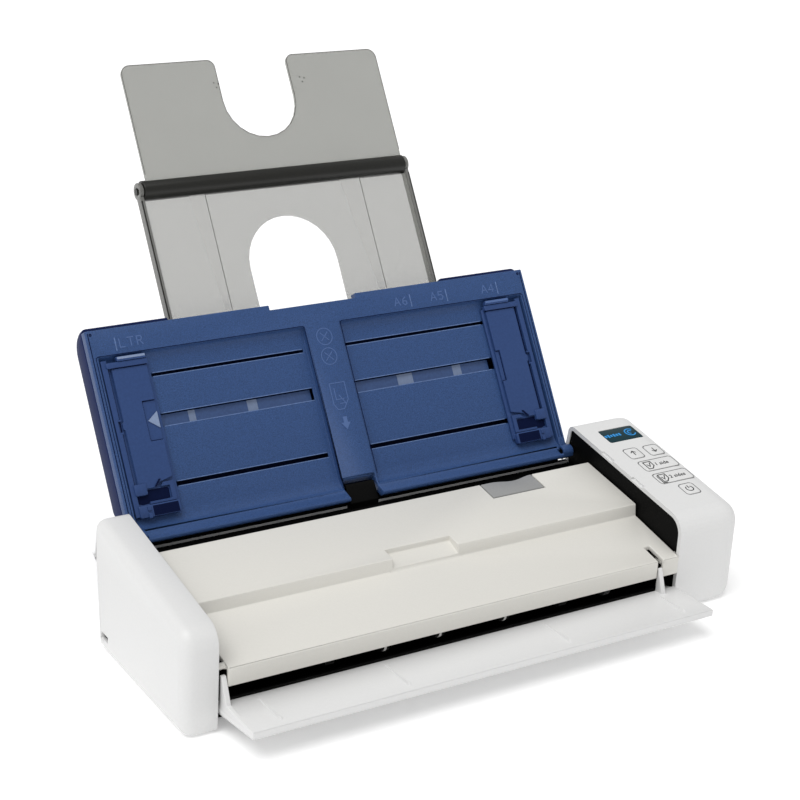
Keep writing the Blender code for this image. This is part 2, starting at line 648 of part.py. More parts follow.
def make_tray(root, looks):
    """The folding input tray: its front panel, its back shell and its hinge pins."""
    axis = empty("input_tray_axis", root, (0, TRAY_PIVOT_Y, TRAY_PIVOT_Z), -radians(TRAY_TILT))
    low_x, high_x = tray_ends()
    depth = WELL_DEPTH + WELL_FLOOR
    face = TRAY_FACE
    outline = [
        (face, TRAY_HEIGHT), (face, 5.0), (face - 0.8, 2.4), (face - 2.4, 0.6), (-2.6, -1.6), (-2.0, -3.2),
        (1.6, -3.2), (face + depth, 1.4), (face + depth, TRAY_HEIGHT),
    ]
    panel = build("tray_front_panel", along_x(outline, low_x, high_x), axis, looks["blue"])
    wells = ((low_x + WELL_SIDE, -RIB_HALF), (RIB_HALF, high_x - WELL_SIDE))
    for well in wells:
        tool(panel, along_x(well_outline(face), *well))
        for height, width in SLOTS:
            reach = sorted((well[0] + 2.0, well[1] - 2.0))
            tool(panel, tray_box(reach, (0, depth + 1), (height - width / 2, height + width / 2)))
    tool(panel, tray_box(DIP_X, (-1, depth + 1), (TRAY_HEIGHT - DIP_DEPTH, TRAY_HEIGHT + 1)))
    tongue_gap = turned([(-9.4, 9.0), (8.6, 9.0)], 0, 0, 24)
    tool(panel, tongue_gap)
    for end in (low_x, high_x):
        side = 1 if end < 0 else -1
        span = sorted((end, end + side * 6))
        tool(panel, turned([(span[0], 3.4), (span[1], 3.4)], 0, 0, 20), "UNION")
        tool(panel, turned([(span[0] - 1, TRAY_PIN_RADIUS + GAP), (span[1] + 1, TRAY_PIN_RADIUS + GAP)], 0, 0, 16))
        name = "tray_pin_left" if side > 0 else "tray_pin_right"
        build(name, turned(
            [(end + side * 5.5, TRAY_PIN_RADIUS), (end - side * 4.2, TRAY_PIN_RADIUS)], 0, 0, 16
        ), axis, looks["steel"])

    front = face + depth + GAP
    back = face + TRAY_THICK
    lip = TRAY_HEIGHT + 2.2
    corners = [
        (front, lip, 0), (back, lip, 11.0), (back, 14.0, 6.0), (back - 7.0, 5.6, 2.0), (front, 3.4, 0),
    ]
    rings = []
    radius = 3.0
    limits = [(low_x, 1), (high_x, -1)]
    for end, side in limits:
        part = []
        for k in range(5):
            turn = pi / 2 * k / 4
            amount = radius * (1 - sin(turn))
            shape = inset(corners, [amount, amount, amount, amount, 0])
            part.append([(end + side * radius * (1 - cos(turn)), a, b) for a, b in rounded(shape, 8)])
        rings += part if side > 0 else part[::-1]
    shell = build("tray_back_shell", loft(rings), axis, looks["blue"])
    hollow = inset(corners, [TRAY_WALL] * 4 + [-OVERCUT])
    tool(shell, along_x(rounded(hollow, 8), low_x + TRAY_WALL, high_x - TRAY_WALL))
    slot_x = (EXT_LOW_X[0] - 1.2, EXT_LOW_X[1] + 1.2)
    tool(shell, tray_box(slot_x, (depth - 1, EXT_FACE + EXT_RAIL + 1.5), (TRAY_HEIGHT - 10, lip + 5)))
    tool(shell, tray_box(slot_x, (depth - 1, TRAY_THICK + 3), (TRAY_HEIGHT - DIP_DEPTH, lip + 5)))
    tool(shell, turned([(-9.4, 9.0), (8.6, 9.0)], 0, 0, 24))
    return axis


def gear_outline(teeth, module, phase=0.0, thin=0.12):
    """The outline of a gear with straight-sided teeth, one tooth centred on phase."""
    pitch = teeth * module / 2
    root_radius = pitch - 1.2 * module
    tip = pitch + 0.8 * module
    step = 2 * pi / teeth
    half = step / 4 - thin / pitch
    points = []
    for k in range(teeth):
        middle = phase + k * step
        lean = 0.36 * module / pitch
        for radius, spread in ((root_radius, half + 1.15 * lean), (tip, half - 0.85 * lean)):
            points.append((radius, middle - spread))
        for radius, spread in ((tip, half - 0.85 * lean), (root_radius, half + 1.15 * lean)):
            points.append((radius, middle + spread))
    return [(radius * cos(angle), radius * sin(angle)) for radius, angle in points]


def rack_outline(start, count, module, side, base, thin=0.12):
    """A toothed bar in x and v, its teeth pointing at v = 0, one tooth centred on x = 0."""
    pitch = pi * module
    half = pitch / 4 - thin
    line = PINION_TEETH * module / 2 + 0.12
    points = []
    for k in range(count):
        middle = start + k * pitch
        for x, height in (
            (middle - half - 0.42 * module, line + 1.2 * module), (middle - half + 0.3 * module, line - 0.8 * module),
            (middle + half - 0.3 * module, line - 0.8 * module), (middle + half + 0.42 * module, line + 1.2 * module),
        ):
            points.append((x, side * height))
    first, last = points[0][0], points[-1][0]
    return points + [(last, side * base), (first, side * base)]


def make_guides(axis, looks):
    """Two paper guides on racks that one pinion moves together, with fold-up fences."""
    back = TRAY_FACE + WELL_DEPTH + WELL_FLOOR
    layer = (back + 0.25, back + 1.45)
    middle_v = SLOTS[1][0]
    pitch = pi * RACK_MODULE
    bar = PINION_TEETH * RACK_MODULE / 2 + 3.4
    for side, word in ((-1, "left"), (1, "right")):
        slide = empty(f"guide_{word}_slide", axis)
        outer, inner = side * GUIDE_OUTER, side * GUIDE_INNER
        base_x = sorted((outer, inner))
        n_low, n_high = WELL_DEPTH - GAP - GUIDE_THICK, WELL_DEPTH - GAP
        slider = build(
            f"guide_slider_{word}", tray_box(base_x, (n_low, n_high), (
                WELL_FOOT + WELL_FOOT_CURVE, WELL_TOP - WELL_TOP_CURVE
            )),
            slide, looks["blue"],
        )
        block_x = sorted((side * (GUIDE_HINGE_X + 3.0), inner + side * 1.2))
        lug_x = sorted((block_x[0] if side < 0 else block_x[1], side * (GUIDE_HINGE_X - 3.0)))
        for x, v in (
            (block_x, (PLATE_TOP + GAP, WELL_TOP - 3.3)), (block_x, (GUIDE_FOOT, FOOT_BLOCK_TOP)),
            (lug_x, (PLATE_FOOT - FOOT_LUG, PLATE_FOOT - GAP)),
        ):
            tool(slider, tray_box(x, (-0.4, n_high - 0.2), v, 0.8), "UNION")
        tab_x = sorted((side * (GUIDE_HINGE_X - 5), side * (GUIDE_HINGE_X - 12)))
        for height, width in SLOTS:
            tall = width / 2 - GAP
            deep = WELL_DEPTH + WELL_FLOOR + (1.45 if height == middle_v else 0.25)
            tool(slider, tray_box(tab_x, (n_high - 0.4, deep), (height - tall, height + tall)), "UNION")
        reach = GUIDE_HINGE_X - 5
        if side < 0:
            count = int((reach + 12) / pitch)
            outline = rack_outline(-(count - 5) * pitch, count, RACK_MODULE, 1, bar)
        else:
            count = int((reach + 12) / pitch)
            outline = rack_outline(-4 * pitch, count, RACK_MODULE, -1, bar)
        rings = [[(a, n, b + middle_v) for a, b in outline] for n in layer]
        tool(slider, loft(rings), "UNION")
        sign = -side
        link = sorted((middle_v + sign * (SLOTS[1][1] / 2 - GAP - 1.0), middle_v + sign * bar))
        tool(slider, tray_box(
            tab_x, (layer[0] - TRAY_FACE, layer[1] - TRAY_FACE), link
        ), "UNION")
        hinge_n = WELL_DEPTH - GAP - GUIDE_THICK - GAP - PLATE_THICK / 2 + TRAY_FACE
        hinge = empty(f"guide_{word}_hinge", slide, (side * GUIDE_HINGE_X, hinge_n, 0))
        origin = (side * GUIDE_HINGE_X, hinge_n, 0)
        plate_x = sorted((side * (GUIDE_HINGE_X + 0.6), inner + side * 3.2))
        plate = build(
            f"guide_plate_{word}",
            box(plate_x, (hinge_n - PLATE_THICK / 2, hinge_n + PLATE_THICK / 2), (PLATE_FOOT, PLATE_TOP), 1.2),
            hinge, looks["blue"], origin,
        )
        pin = 0.6
        rod = [
            [(side * GUIDE_HINGE_X + pin * cos(t), hinge_n + pin * sin(t), v)
             for t in [2 * pi * k / 8 for k in range(8)]]
            for v in (PLATE_FOOT - 1.6, PLATE_TOP + 1.6)
        ]
        tool(plate, loft(rod), "UNION", origin)
        hole = [
            [(side * GUIDE_HINGE_X + (pin + GAP) * cos(t), hinge_n + (pin + GAP) * sin(t), v)
             for t in [2 * pi * k / 8 for k in range(8)]]
            for v in (PLATE_FOOT - 1.9, PLATE_TOP + 1.9)
        ]
        tool(slider, loft(hole))
    spin = empty("pinion_axis", axis, (0, layer[0], middle_v))
    teeth = gear_outline(PINION_TEETH, RACK_MODULE, pi / 2 + pi / PINION_TEETH)
    rings = [[(a, n, b + middle_v) for a, b in teeth] for n in layer]
    build("guide_pinion", loft(rings), spin, looks["grey"], (0, layer[0], middle_v))


def make_extension(axis, looks):
    """The smoked extension: a lower sheet in two rails, and an upper sheet on a hinge."""
    n = EXT_FACE
    rail = EXT_RAIL
    hinge_n = n + rail / 2
    slide = empty("extension_slide", axis)
    low_x, high_x = EXT_LOW_X
    sheet = build(
        "extension_lower",
        tray_box((low_x + 2.3, high_x - 2.3), (n, n + EXT_SHEET), (EXT_FOOT, EXT_HINGE_V - EXT_TUBE_RADIUS - 0.5)),
        slide, looks["smoke"],
    )
    centre_v = ARCH_TOP_V - ARCH_RADIUS
    outline = [(ARCH_X - ARCH_RADIUS, EXT_FOOT + 10), (ARCH_X + ARCH_RADIUS, EXT_FOOT + 10)]
    for k in range(17):
        angle = pi * k / 16
        outline.append((ARCH_X + ARCH_RADIUS * cos(angle), centre_v + ARCH_RADIUS * sin(angle)))
    tool(sheet, along_y(outline, n + TRAY_FACE - 1, n + TRAY_FACE + EXT_SHEET + 1))
    for word, x in (("left", (low_x, low_x + 2.0)), ("right", (high_x - 2.0, high_x))):
        piece = build(
            f"extension_rail_{word}", tray_box(x, (n, n + rail), (EXT_FOOT, EXT_HINGE_V - 2)),
            slide, looks["black"],
        )
        tool(piece, turned([(x[0], 4.2), (x[1], 4.2)], hinge_n + TRAY_FACE, EXT_HINGE_V, 20), "UNION")
        tool(piece, turned([(x[0] - 1, 1.8), (x[1] + 1, 1.8)], hinge_n + TRAY_FACE, EXT_HINGE_V, 16))
    place = (0, hinge_n + TRAY_FACE, EXT_HINGE_V)
    fold = empty("extension_hinge", slide, place)
    build("extension_rod", turned(
        [(low_x - 0.6, 1.5), (high_x + 0.6, 1.5)], place[1], place[2], 16
    ), slide, looks["steel"])
    tube = build("extension_tube", turned(
        [(low_x + 2.3, EXT_TUBE_RADIUS), (high_x - 2.3, EXT_TUBE_RADIUS)], place[1], place[2], 28
    ), fold, looks["black"], place)
    tool(tube, turned([(low_x - 1, 1.8), (high_x + 1, 1.8)], place[1], place[2], 16), origin=place)
    x0, x1 = EXT_TOP_X
    foot_v = EXT_HINGE_V + 2.6
    free_v = EXT_HINGE_V + 4.2 + 0.6
    step_x = high_x - 2.6 - GAP
    grip = [
        (x0 - 0.3, foot_v - 0.3), (step_x + 9, foot_v - 0.3), (step_x + 9, foot_v + 9), (x0 - 0.3, foot_v + 9)
    ]
    tool(tube, along_y(grip, n + TRAY_FACE - 0.3, n + TRAY_FACE + EXT_SHEET + 0.3), origin=place)
    bottom = NOTCH_FOOT_V + NOTCH_RADIUS
    corner = 4.0
    outline = [(x0, foot_v), (step_x, foot_v), (step_x, free_v), (x1, free_v)]
    outline += rounded([(x1, foot_v, 0), (x1, EXT_TOP_V, corner), (NOTCH_X + NOTCH_RADIUS, EXT_TOP_V, 0)], 5)[1:-1]
    outline.append((NOTCH_X + NOTCH_RADIUS + 2.5, EXT_TOP_V))
    outline.append((NOTCH_X + NOTCH_RADIUS, EXT_TOP_V - 2.5))
    for k in range(15):
        angle = -pi * k / 14
        outline.append((NOTCH_X + NOTCH_RADIUS * cos(angle), bottom + NOTCH_RADIUS * sin(angle)))
    outline.append((NOTCH_X - NOTCH_RADIUS, EXT_TOP_V - 2.5))
    outline.append((NOTCH_X - NOTCH_RADIUS - 2.5, EXT_TOP_V))
    outline += rounded([(NOTCH_X - NOTCH_RADIUS, EXT_TOP_V, 0), (x0, EXT_TOP_V, corner), (x0, foot_v, 0)], 5)[1:-1]
    build("extension_upper", along_y(
        outline, n + TRAY_FACE, n + TRAY_FACE + EXT_SHEET
    ), fold, looks["smoke"], place)


def make_output_tray(root, looks):
    """The output tray with its two arms, ears and moulded pins."""
    origin = (0, OUT_PIVOT_Y, OUT_PIVOT_Z)
    axis = empty("output_tray_axis", root, origin)
    low_x, high_x = LEFT_X + TRAY_SIDE_GAP, RIGHT_X - 0.6
    plate = [
        (OUT_FRONT_Y, OUT_UNDER_FRONT_Z), (OUT_FRONT_Y, OUT_TOP_FRONT_Z - 0.4),
        (OUT_FRONT_Y + 0.4, OUT_TOP_FRONT_Z), (OUT_BACK_Y, OUT_TOP_BACK_Z),
        (OUT_BACK_Y, OUT_TOP_BACK_Z - OUT_THICK), (OUT_FRONT_Y + 2.4, OUT_TOP_FRONT_Z - OUT_THICK),
        (OUT_FRONT_Y + 2.0, OUT_UNDER_FRONT_Z),
    ]
    tray = build("output_tray", along_x(plate, low_x, high_x), axis, looks["white"], origin)
    rear = OUT_BACK_Y + 1.7
    arm = [
        (rear, OUT_ARM_TOP_Z), (rear - 1.6, OUT_ARM_TOP_Z), (-51.0, OUT_TOP_BACK_Z + 0.6),
        (OUT_FRONT_Y + 0.6, OUT_TOP_FRONT_Z - 0.5), (OUT_FRONT_Y + 0.6, OUT_UNDER_FRONT_Z),
        (OUT_PIVOT_Y - 1.0, OUT_PIVOT_Z - 2.4), (OUT_PIVOT_Y - 1.0, OUT_PIVOT_Z + 2.4), (rear, OUT_PIVOT_Z + 4.0),
    ]
    tool(tray, along_x(arm, low_x, low_x + ARM_THICK), "UNION", origin)
    rib = [
        (OUT_BACK_Y, OUT_ARM_TOP_Z), (OUT_BACK_Y - 1.0, OUT_ARM_TOP_Z), (-51.4, 14.0),
        (-51.4, 13.0), (OUT_BACK_Y, 13.0),
    ]
    tool(tray, along_x(rib, RIGHT_ARM_X, RIGHT_ARM_X + ARM_THICK), "UNION", origin)
    ear = [
        (OUT_PIVOT_Y, OUT_PIVOT_Z - 2.6), (OUT_BACK_Y - 8, OUT_TOP_BACK_Z - 1.6),
        (OUT_BACK_Y - 8, OUT_TOP_BACK_Z - 0.6), (OUT_BACK_Y, OUT_TOP_BACK_Z - 0.6), (OUT_PIVOT_Y, OUT_PIVOT_Z + 2.6),
    ]
    tool(tray, along_x(ear, high_x - ARM_THICK, high_x), "UNION", origin)
    for end, side in ((low_x, 1), (high_x, -1)):
        tool(tray, turned(
            [(end, 2.6), (end + side * ARM_THICK, 2.6)], OUT_PIVOT_Y, OUT_PIVOT_Z, 16
        ), "UNION", origin)
        stop = LEFT_X - 2.4 if side > 0 else RIGHT_X + 2.4
        tool(tray, turned(
            [(stop, OUT_PIN_RADIUS), (end + side, OUT_PIN_RADIUS)], OUT_PIVOT_Y, OUT_PIVOT_Z, 12
        ), "UNION", origin)


def make_paper_path(root, looks):
    """The lower paper guide, the entry guide behind it and the lower image sensor."""
    span = (LEFT_X + GAP, RIGHT_X - GAP)
    front, back = EXIT_Y - 3.0, 37.0
    thick = 2.0
    guide = build(
        "lower_paper_guide",
        along_x(
            [
                (front, path_z(front) - thick), (front, path_z(front)), (back, path_z(back)),
                (back, path_z(back) - thick),
            ],
            *span,
        ),
        root, looks["black"],
    )
    for low, high in arm_slots():
        tool(guide, box((low, high), (front - 2, front + 17), (8, 40)))
    for y, radius, halves in (
        (FEED_Y, FEED_RADIUS, ((-16, 16),)),
        (DRIVE_Y, DRIVE_RADIUS, ((-72, -38), (38, 72))),
    ):
        for low, high in halves:
            tool(guide, box((low - 1, high + 1), (y - radius - 0.8, y + radius + 0.8), (5, 60)))
    for x in EXIT_SPOTS:
        tool(guide, box((x - 3, x + 3), (front - 2, EXIT_Y + EXIT_RADIUS + 1), (5, 60)))
    tool(guide, box((BELT_X[0] - 1, BELT_X[1] + 1), (front - 2, DRIVE_Y + DRIVE_RADIUS + 0.8), (5, 60)))
    tool(guide, turned([(-101, 1.9), (101, 1.9)], EXIT_Y, path_z(EXIT_Y) - EXIT_RADIUS, 16))
    length = (-108.0, 104.0)
    y = (SENSOR_Y - SENSOR_DEPTH / 2, SENSOR_Y + SENSOR_DEPTH / 2)
    tool(guide, box((length[0] - GAP, length[1] + GAP), (y[0] - GAP, y[1] + GAP), (5, 60)))
    glass_z = path_z(y[0]) - 1.4
    build("lower_scan_glass", box(length, y, (glass_z, glass_z + 1.2)), root, looks["glass"])
    build("lower_image_sensor", box(length, y, (glass_z - 11, glass_z - GAP)), root, looks["black"])
    entry_y = (back + GAP, CAP_BACK_Y + 1.2)
    crest = TRAY_PIVOT_Z - 7.0
    entry = build(
        "entry_guide",
        along_x(
            [
                (entry_y[0], path_z(back) - 4), (entry_y[0], path_z(back)), (entry_y[0] + 3.4, crest - 2.6),
                (entry_y[1] - 1.0, crest), (entry_y[1], crest - 0.6), (entry_y[0] + 5.6, path_z(back) - 4),
            ],
            *span,
        ),
        root, looks["black"],
    )
    tongue = [
        (entry_y[1] - 2.0, crest - 1.4), (entry_y[1] - 2.6, crest + 2.8), (entry_y[1] + 1.4, crest + 7.8),
        (entry_y[1] + 3.4, crest + 10.4), (entry_y[1] + 5.0, crest + 9.4), (entry_y[1] + 1.4, crest + 2.0),
        (entry_y[1] + 0.2, crest - 1.0),
    ]
    tool(entry, along_x(tongue, -8.4, 7.6), "UNION")


EXIT_SPOTS = (-66.0, -37.7, -8.6, 27.0, 60.0)


def make_drive(root, looks):
    """The rollers, their shafts and gears, the motor and the belt to the exit roller."""
    wall = RIGHT_X + 0.4 + INNER_WALL
    left_end = LEFT_X - 2.4
    gear_x = (wall + 1.2, wall + 1.2 + GEAR_WIDTH)
    feed_z = path_z(FEED_Y) - FEED_RADIUS
    drive_z = path_z(DRIVE_Y) - DRIVE_RADIUS
    exit_z = path_z(EXIT_Y) - EXIT_RADIUS
    feed = empty("feed_axis", root, (0, FEED_Y, feed_z))
    s = SHAFT_RADIUS
    build("feed_roller", turned(
        [(left_end, s), (-16, s), (-16, FEED_RADIUS), (16, FEED_RADIUS), (16, s), (gear_x[1] + 1, s)],
        FEED_Y, feed_z,
    ), feed, looks["rubber"], (0, FEED_Y, feed_z))
    drive = empty("drive_axis", root, (0, DRIVE_Y, drive_z))
    belt_x = BELT_X
    pulley, small = PULLEY_RADIUS, PULLEY_RADIUS * EXIT_RADIUS / DRIVE_RADIUS
    build("drive_roller", turned(
        [
            (left_end, s), (-72, s), (-72, DRIVE_RADIUS), (-38, DRIVE_RADIUS), (-38, s), (38, s),
            (38, DRIVE_RADIUS), (72, DRIVE_RADIUS), (72, s), (belt_x[0], s), (belt_x[0], pulley),
            (belt_x[1], pulley), (belt_x[1], s), (gear_x[1] + 1, s),
        ],
        DRIVE_Y, drive_z,
    ), drive, looks["rubber"], (0, DRIVE_Y, drive_z))
    leave = empty("exit_axis", root, (0, EXIT_Y, exit_z))
    thin = 1.4
    profile = [(-100.0, thin)]
    for x in EXIT_SPOTS:
        profile += [(x - 2.2, thin), (x - 2.2, EXIT_RADIUS), (x + 2.2, EXIT_RADIUS), (x + 2.2, thin)]
    profile += [(belt_x[0], thin), (belt_x[0], small), (belt_x[1], small), (belt_x[1], thin), (100.0, thin)]
    build("exit_roller", turned(profile, EXIT_Y, exit_z, 16), leave, looks["rubber"], (0, EXIT_Y, exit_z))
    loop = belt_outline((DRIVE_Y, drive_z, pulley + GAP), (EXIT_Y, exit_z, small + GAP))
    outer = belt_outline((DRIVE_Y, drive_z, pulley + GAP + 0.8), (EXIT_Y, exit_z, small + GAP + 0.8))
    belt = build("exit_belt", along_x(outer, belt_x[0] + 0.4, belt_x[1] - 0.4), root, looks["rubber"])
    tool(belt, along_x(loop, belt_x[0] - 1, belt_x[1] + 1))
    make_gears(root, looks, gear_x, (FEED_Y, feed_z), (DRIVE_Y, drive_z))


def belt_outline(one, two, steps=10):
    """The outline of a belt round two pulleys, each (y, z, radius)."""
    gap = hypot(two[0] - one[0], two[1] - one[1])
    along = atan2(two[1] - one[1], two[0] - one[0])
    lean = acos((one[2] - two[2]) / gap)
    points = []
    for k in range(steps + 1):
        angle = along + lean + (2 * pi - 2 * lean) * k / steps
        points.append((one[0] + one[2] * cos(angle), one[1] + one[2] * sin(angle)))
    for k in range(steps + 1):
        angle = along - lean + 2 * lean * k / steps
        points.append((two[0] + two[2] * cos(angle), two[1] + two[2] * sin(angle)))
    return points


def gear_spread(one, two):
    """The distance between the centres of two meshing gears, with a little backlash."""
    return GEAR_MODULE * (one + two) / 2 + 0.14


def mesh_phase(from_phase, from_teeth, to_teeth, direction):
    """The phase of a gear that meshes with another along a direction."""
    offset = (direction - from_phase) * from_teeth / (2 * pi)
    return direction + pi + (offset + 0.5) * 2 * pi / to_teeth


def meeting_point(one, two, near, far):
    """The upper crossing of two circles, each a centre and a radius."""
    gap = hypot(two[0] - one[0], two[1] - one[1])
    along = atan2(two[1] - one[1], two[0] - one[0])
    lean = acos((near**2 + gap**2 - far**2) / (2 * near * gap))
    return one[0] + near * cos(along + lean), one[1] + near * sin(along + lean)


def make_gears(root, looks, gear_x, feed, drive):
    """The gear train in the right cap, from the motor to the drive and feed rollers."""
    near = gear_spread(DRIVE_TEETH, TRANSFER_TEETH)
    transfer = meeting_point(drive, feed, near, gear_spread(TRANSFER_TEETH, FEED_TEETH))
    down = radians(MOTOR_ANGLE)
    reach = gear_spread(TRANSFER_TEETH, MOTOR_TEETH)
    motor = (transfer[0] + reach * cos(down), transfer[1] + reach * sin(down))
    transfer_phase = 0.0
    phases = []
    for teeth, (y, z) in ((DRIVE_TEETH, drive), (FEED_TEETH, feed), (MOTOR_TEETH, motor)):
        phases.append(mesh_phase(transfer_phase, TRANSFER_TEETH, teeth, atan2(z - transfer[1], y - transfer[0])))
    train = (
        ("transfer_gear", TRANSFER_TEETH, transfer, transfer_phase, 1.8),
        ("drive_gear", DRIVE_TEETH, drive, phases[0], SHAFT_RADIUS + GAP),
        ("feed_gear", FEED_TEETH, feed, phases[1], SHAFT_RADIUS + GAP),
        ("motor_gear", MOTOR_TEETH, motor, phases[2], 1.3),
    )
    for name, teeth, (y, z), phase, bore in train:
        outline = gear_outline(teeth, GEAR_MODULE, phase)
        axis = empty(f"{name}_axis", root, (0, y, z))
        gear = build(
            name, along_x([(a + y, b + z) for a, b in outline], *gear_x), axis, looks["grey"], (0, y, z)
        )
        tool(gear, turned([(gear_x[0] - 1, bore), (gear_x[1] + 1, bore)], y, z, 16), origin=(0, y, z))
    body = gear_x[1] + 1.6
    far = min(body + MOTOR_LENGTH, RIGHT_X + RIGHT_CAP_WIDTH - CAP_WALL - 2)
    build("drive_motor", turned(
        [(gear_x[0] - 0.4, 1.0), (body - 0.8, 1.0), (body - 0.8, 4), (body, 4), (body, MOTOR_RADIUS),
         (far, MOTOR_RADIUS)], motor[0], motor[1], 24,
    ), root, looks["steel"])
    post = build("transfer_post", turned(
        [(gear_x[0] - 0.9, 3.0), (gear_x[0] - 0.3, 3.0), (gear_x[0] - 0.3, 1.5), (gear_x[1] + 0.8, 1.5)],
        transfer[0], transfer[1], 16,
    ), root, looks["steel"])
    return post


def make_boards(root, looks):
    """The main board under the paper path, on the floor pan."""
    build("main_board", box(BOARD_X, BOARD_Y, (BOARD_Z, BOARD_Z + 1.6)), root, looks["board"])


def palette():
    """The finishes of every piece."""
    return {
        "white": finish("white_plastic", (0.80, 0.80, 0.79), 0.4),
        "ivory": finish("ivory_plastic", (0.76, 0.74, 0.69), 0.45),
        "blue": finish("blue_plastic", (0.030, 0.075, 0.23), 0.5),
        "black": finish("black_plastic", (0.008, 0.008, 0.008), 0.5),
        "grey": finish("grey_plastic", (0.30, 0.30, 0.30), 0.45),
        "smoke": finish("smoked_sheet", (0.35, 0.34, 0.31), 0.15, 0.0, 0.6),
        "rubber": finish("black_rubber", (0.02, 0.02, 0.02), 0.8),
        "steel": finish("steel", (0.6, 0.6, 0.6), 0.3, 1.0),
        "board": finish("circuit_board", (0.02, 0.13, 0.05), 0.5),
        "glass": finish("scan_glass", (0.8, 0.85, 0.85), 0.05, 0.0, 0.5),
        "display": finish("display_glass", (0.01, 0.05, 0.06), 0.1),
    }


def main():
    """Builds the whole scanner about its own middle, standing on z = 0."""
    clear_scene()
    middle_x = (LEFT_X - LEFT_CAP_WIDTH + RIGHT_X + RIGHT_CAP_WIDTH) / 2
    tilt = radians(TRAY_TILT)
    tip_y = TRAY_PIVOT_Y + EXT_TOP_V * sin(tilt) + (TRAY_FACE + EXT_FACE + EXT_SHEET) * cos(tilt)
    middle_y = (OUT_FRONT_Y + tip_y) / 2
    root = empty("scanner", None, (-middle_x, -middle_y, 0))
    looks = palette()
    make_housing(root, looks)
    make_buttons(root, looks)
    make_cover(root, looks)
    axis = make_tray(root, looks)
    make_guides(axis, looks)
    make_extension(axis, looks)
    make_output_tray(root, looks)
    make_paper_path(root, looks)
    make_drive(root, looks)
    make_boards(root, looks)
    bpy.context.view_layer.update()


main()
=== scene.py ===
"""The looks of a portable sheet fed document scanner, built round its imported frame.

Pieces are drawn in the scanner's own millimetres: x is 0 in the middle of the paper
path, y runs to the back and z up from the desk. Layout turns them into the row frame.
"""

from __future__ import annotations

import json
import logging
from dataclasses import dataclass, field
from enum import Enum
from math import cos, pi, radians, sin, tan
from typing import Iterable, Sequence

import bmesh
import bpy
from mathutils import Matrix, Vector
from mathutils.bvhtree import BVHTree

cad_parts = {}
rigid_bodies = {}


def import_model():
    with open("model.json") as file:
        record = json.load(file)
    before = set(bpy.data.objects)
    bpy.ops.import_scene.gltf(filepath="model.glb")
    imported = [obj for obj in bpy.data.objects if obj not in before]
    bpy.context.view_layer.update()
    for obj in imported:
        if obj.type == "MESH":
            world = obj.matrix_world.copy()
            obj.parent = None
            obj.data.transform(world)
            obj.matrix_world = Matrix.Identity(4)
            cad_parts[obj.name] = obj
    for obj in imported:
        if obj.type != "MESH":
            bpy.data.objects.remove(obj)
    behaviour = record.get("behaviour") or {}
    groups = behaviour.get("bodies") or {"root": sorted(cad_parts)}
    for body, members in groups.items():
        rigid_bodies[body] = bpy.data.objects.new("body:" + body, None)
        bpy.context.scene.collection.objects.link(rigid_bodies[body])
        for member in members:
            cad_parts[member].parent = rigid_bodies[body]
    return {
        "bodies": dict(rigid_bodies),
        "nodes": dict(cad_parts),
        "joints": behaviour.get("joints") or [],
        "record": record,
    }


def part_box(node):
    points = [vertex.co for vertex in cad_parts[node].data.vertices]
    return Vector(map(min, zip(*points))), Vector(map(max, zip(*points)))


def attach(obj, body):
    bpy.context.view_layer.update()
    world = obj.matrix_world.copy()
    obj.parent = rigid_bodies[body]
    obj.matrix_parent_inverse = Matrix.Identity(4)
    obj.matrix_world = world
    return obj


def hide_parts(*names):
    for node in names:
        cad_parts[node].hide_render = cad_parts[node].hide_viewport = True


LOG = logging.getLogger("scanner")
MM = 0.001
SHARP = radians(32)
Point = tuple[float, float]


class Look(Enum):
    """The finishes that the scanner's pieces wear."""

    WHITE = "satin_white"
    IVORY = "warm_ivory"
    BLUE = "grained_blue"
    BLUE_SMOOTH = "smooth_blue"
    MARK = "blue_mark_and_painted_highlight"
    BLACK = "grained_black"
    TUBE = "black_tube"
    GREY = "latch_grey"
    GEAR = "gear_grey"
    SMOKE = "smoked_sheet"
    SMOKE_CLEAR = "clear_smoked_sheet"
    RUBBER = "black_rubber"
    WHEEL = "pale_wheel"
    STEEL = "steel"
    BOARD = "circuit_board"
    GLASS = "scan_glass"
    DISPLAY = "display_glass"
    GLOW = "display_glow"
    PRINT = "grey_print"
    OUTLINE = "button_outline"
    SHADE = "painted_shade_and_seam_blue"
    PALE_BLUE = "pale_blue_mark_and_painted_light"
    SEAM = "sheet_seam"
    SHELL = "painted_shade_blue_shell"
    RAIL = "smoked_rail"
    BAND = "pale_band"
    EDGE = "tick_blue_and_painted_highlight"
    STRIP = "lit_blue_strip"


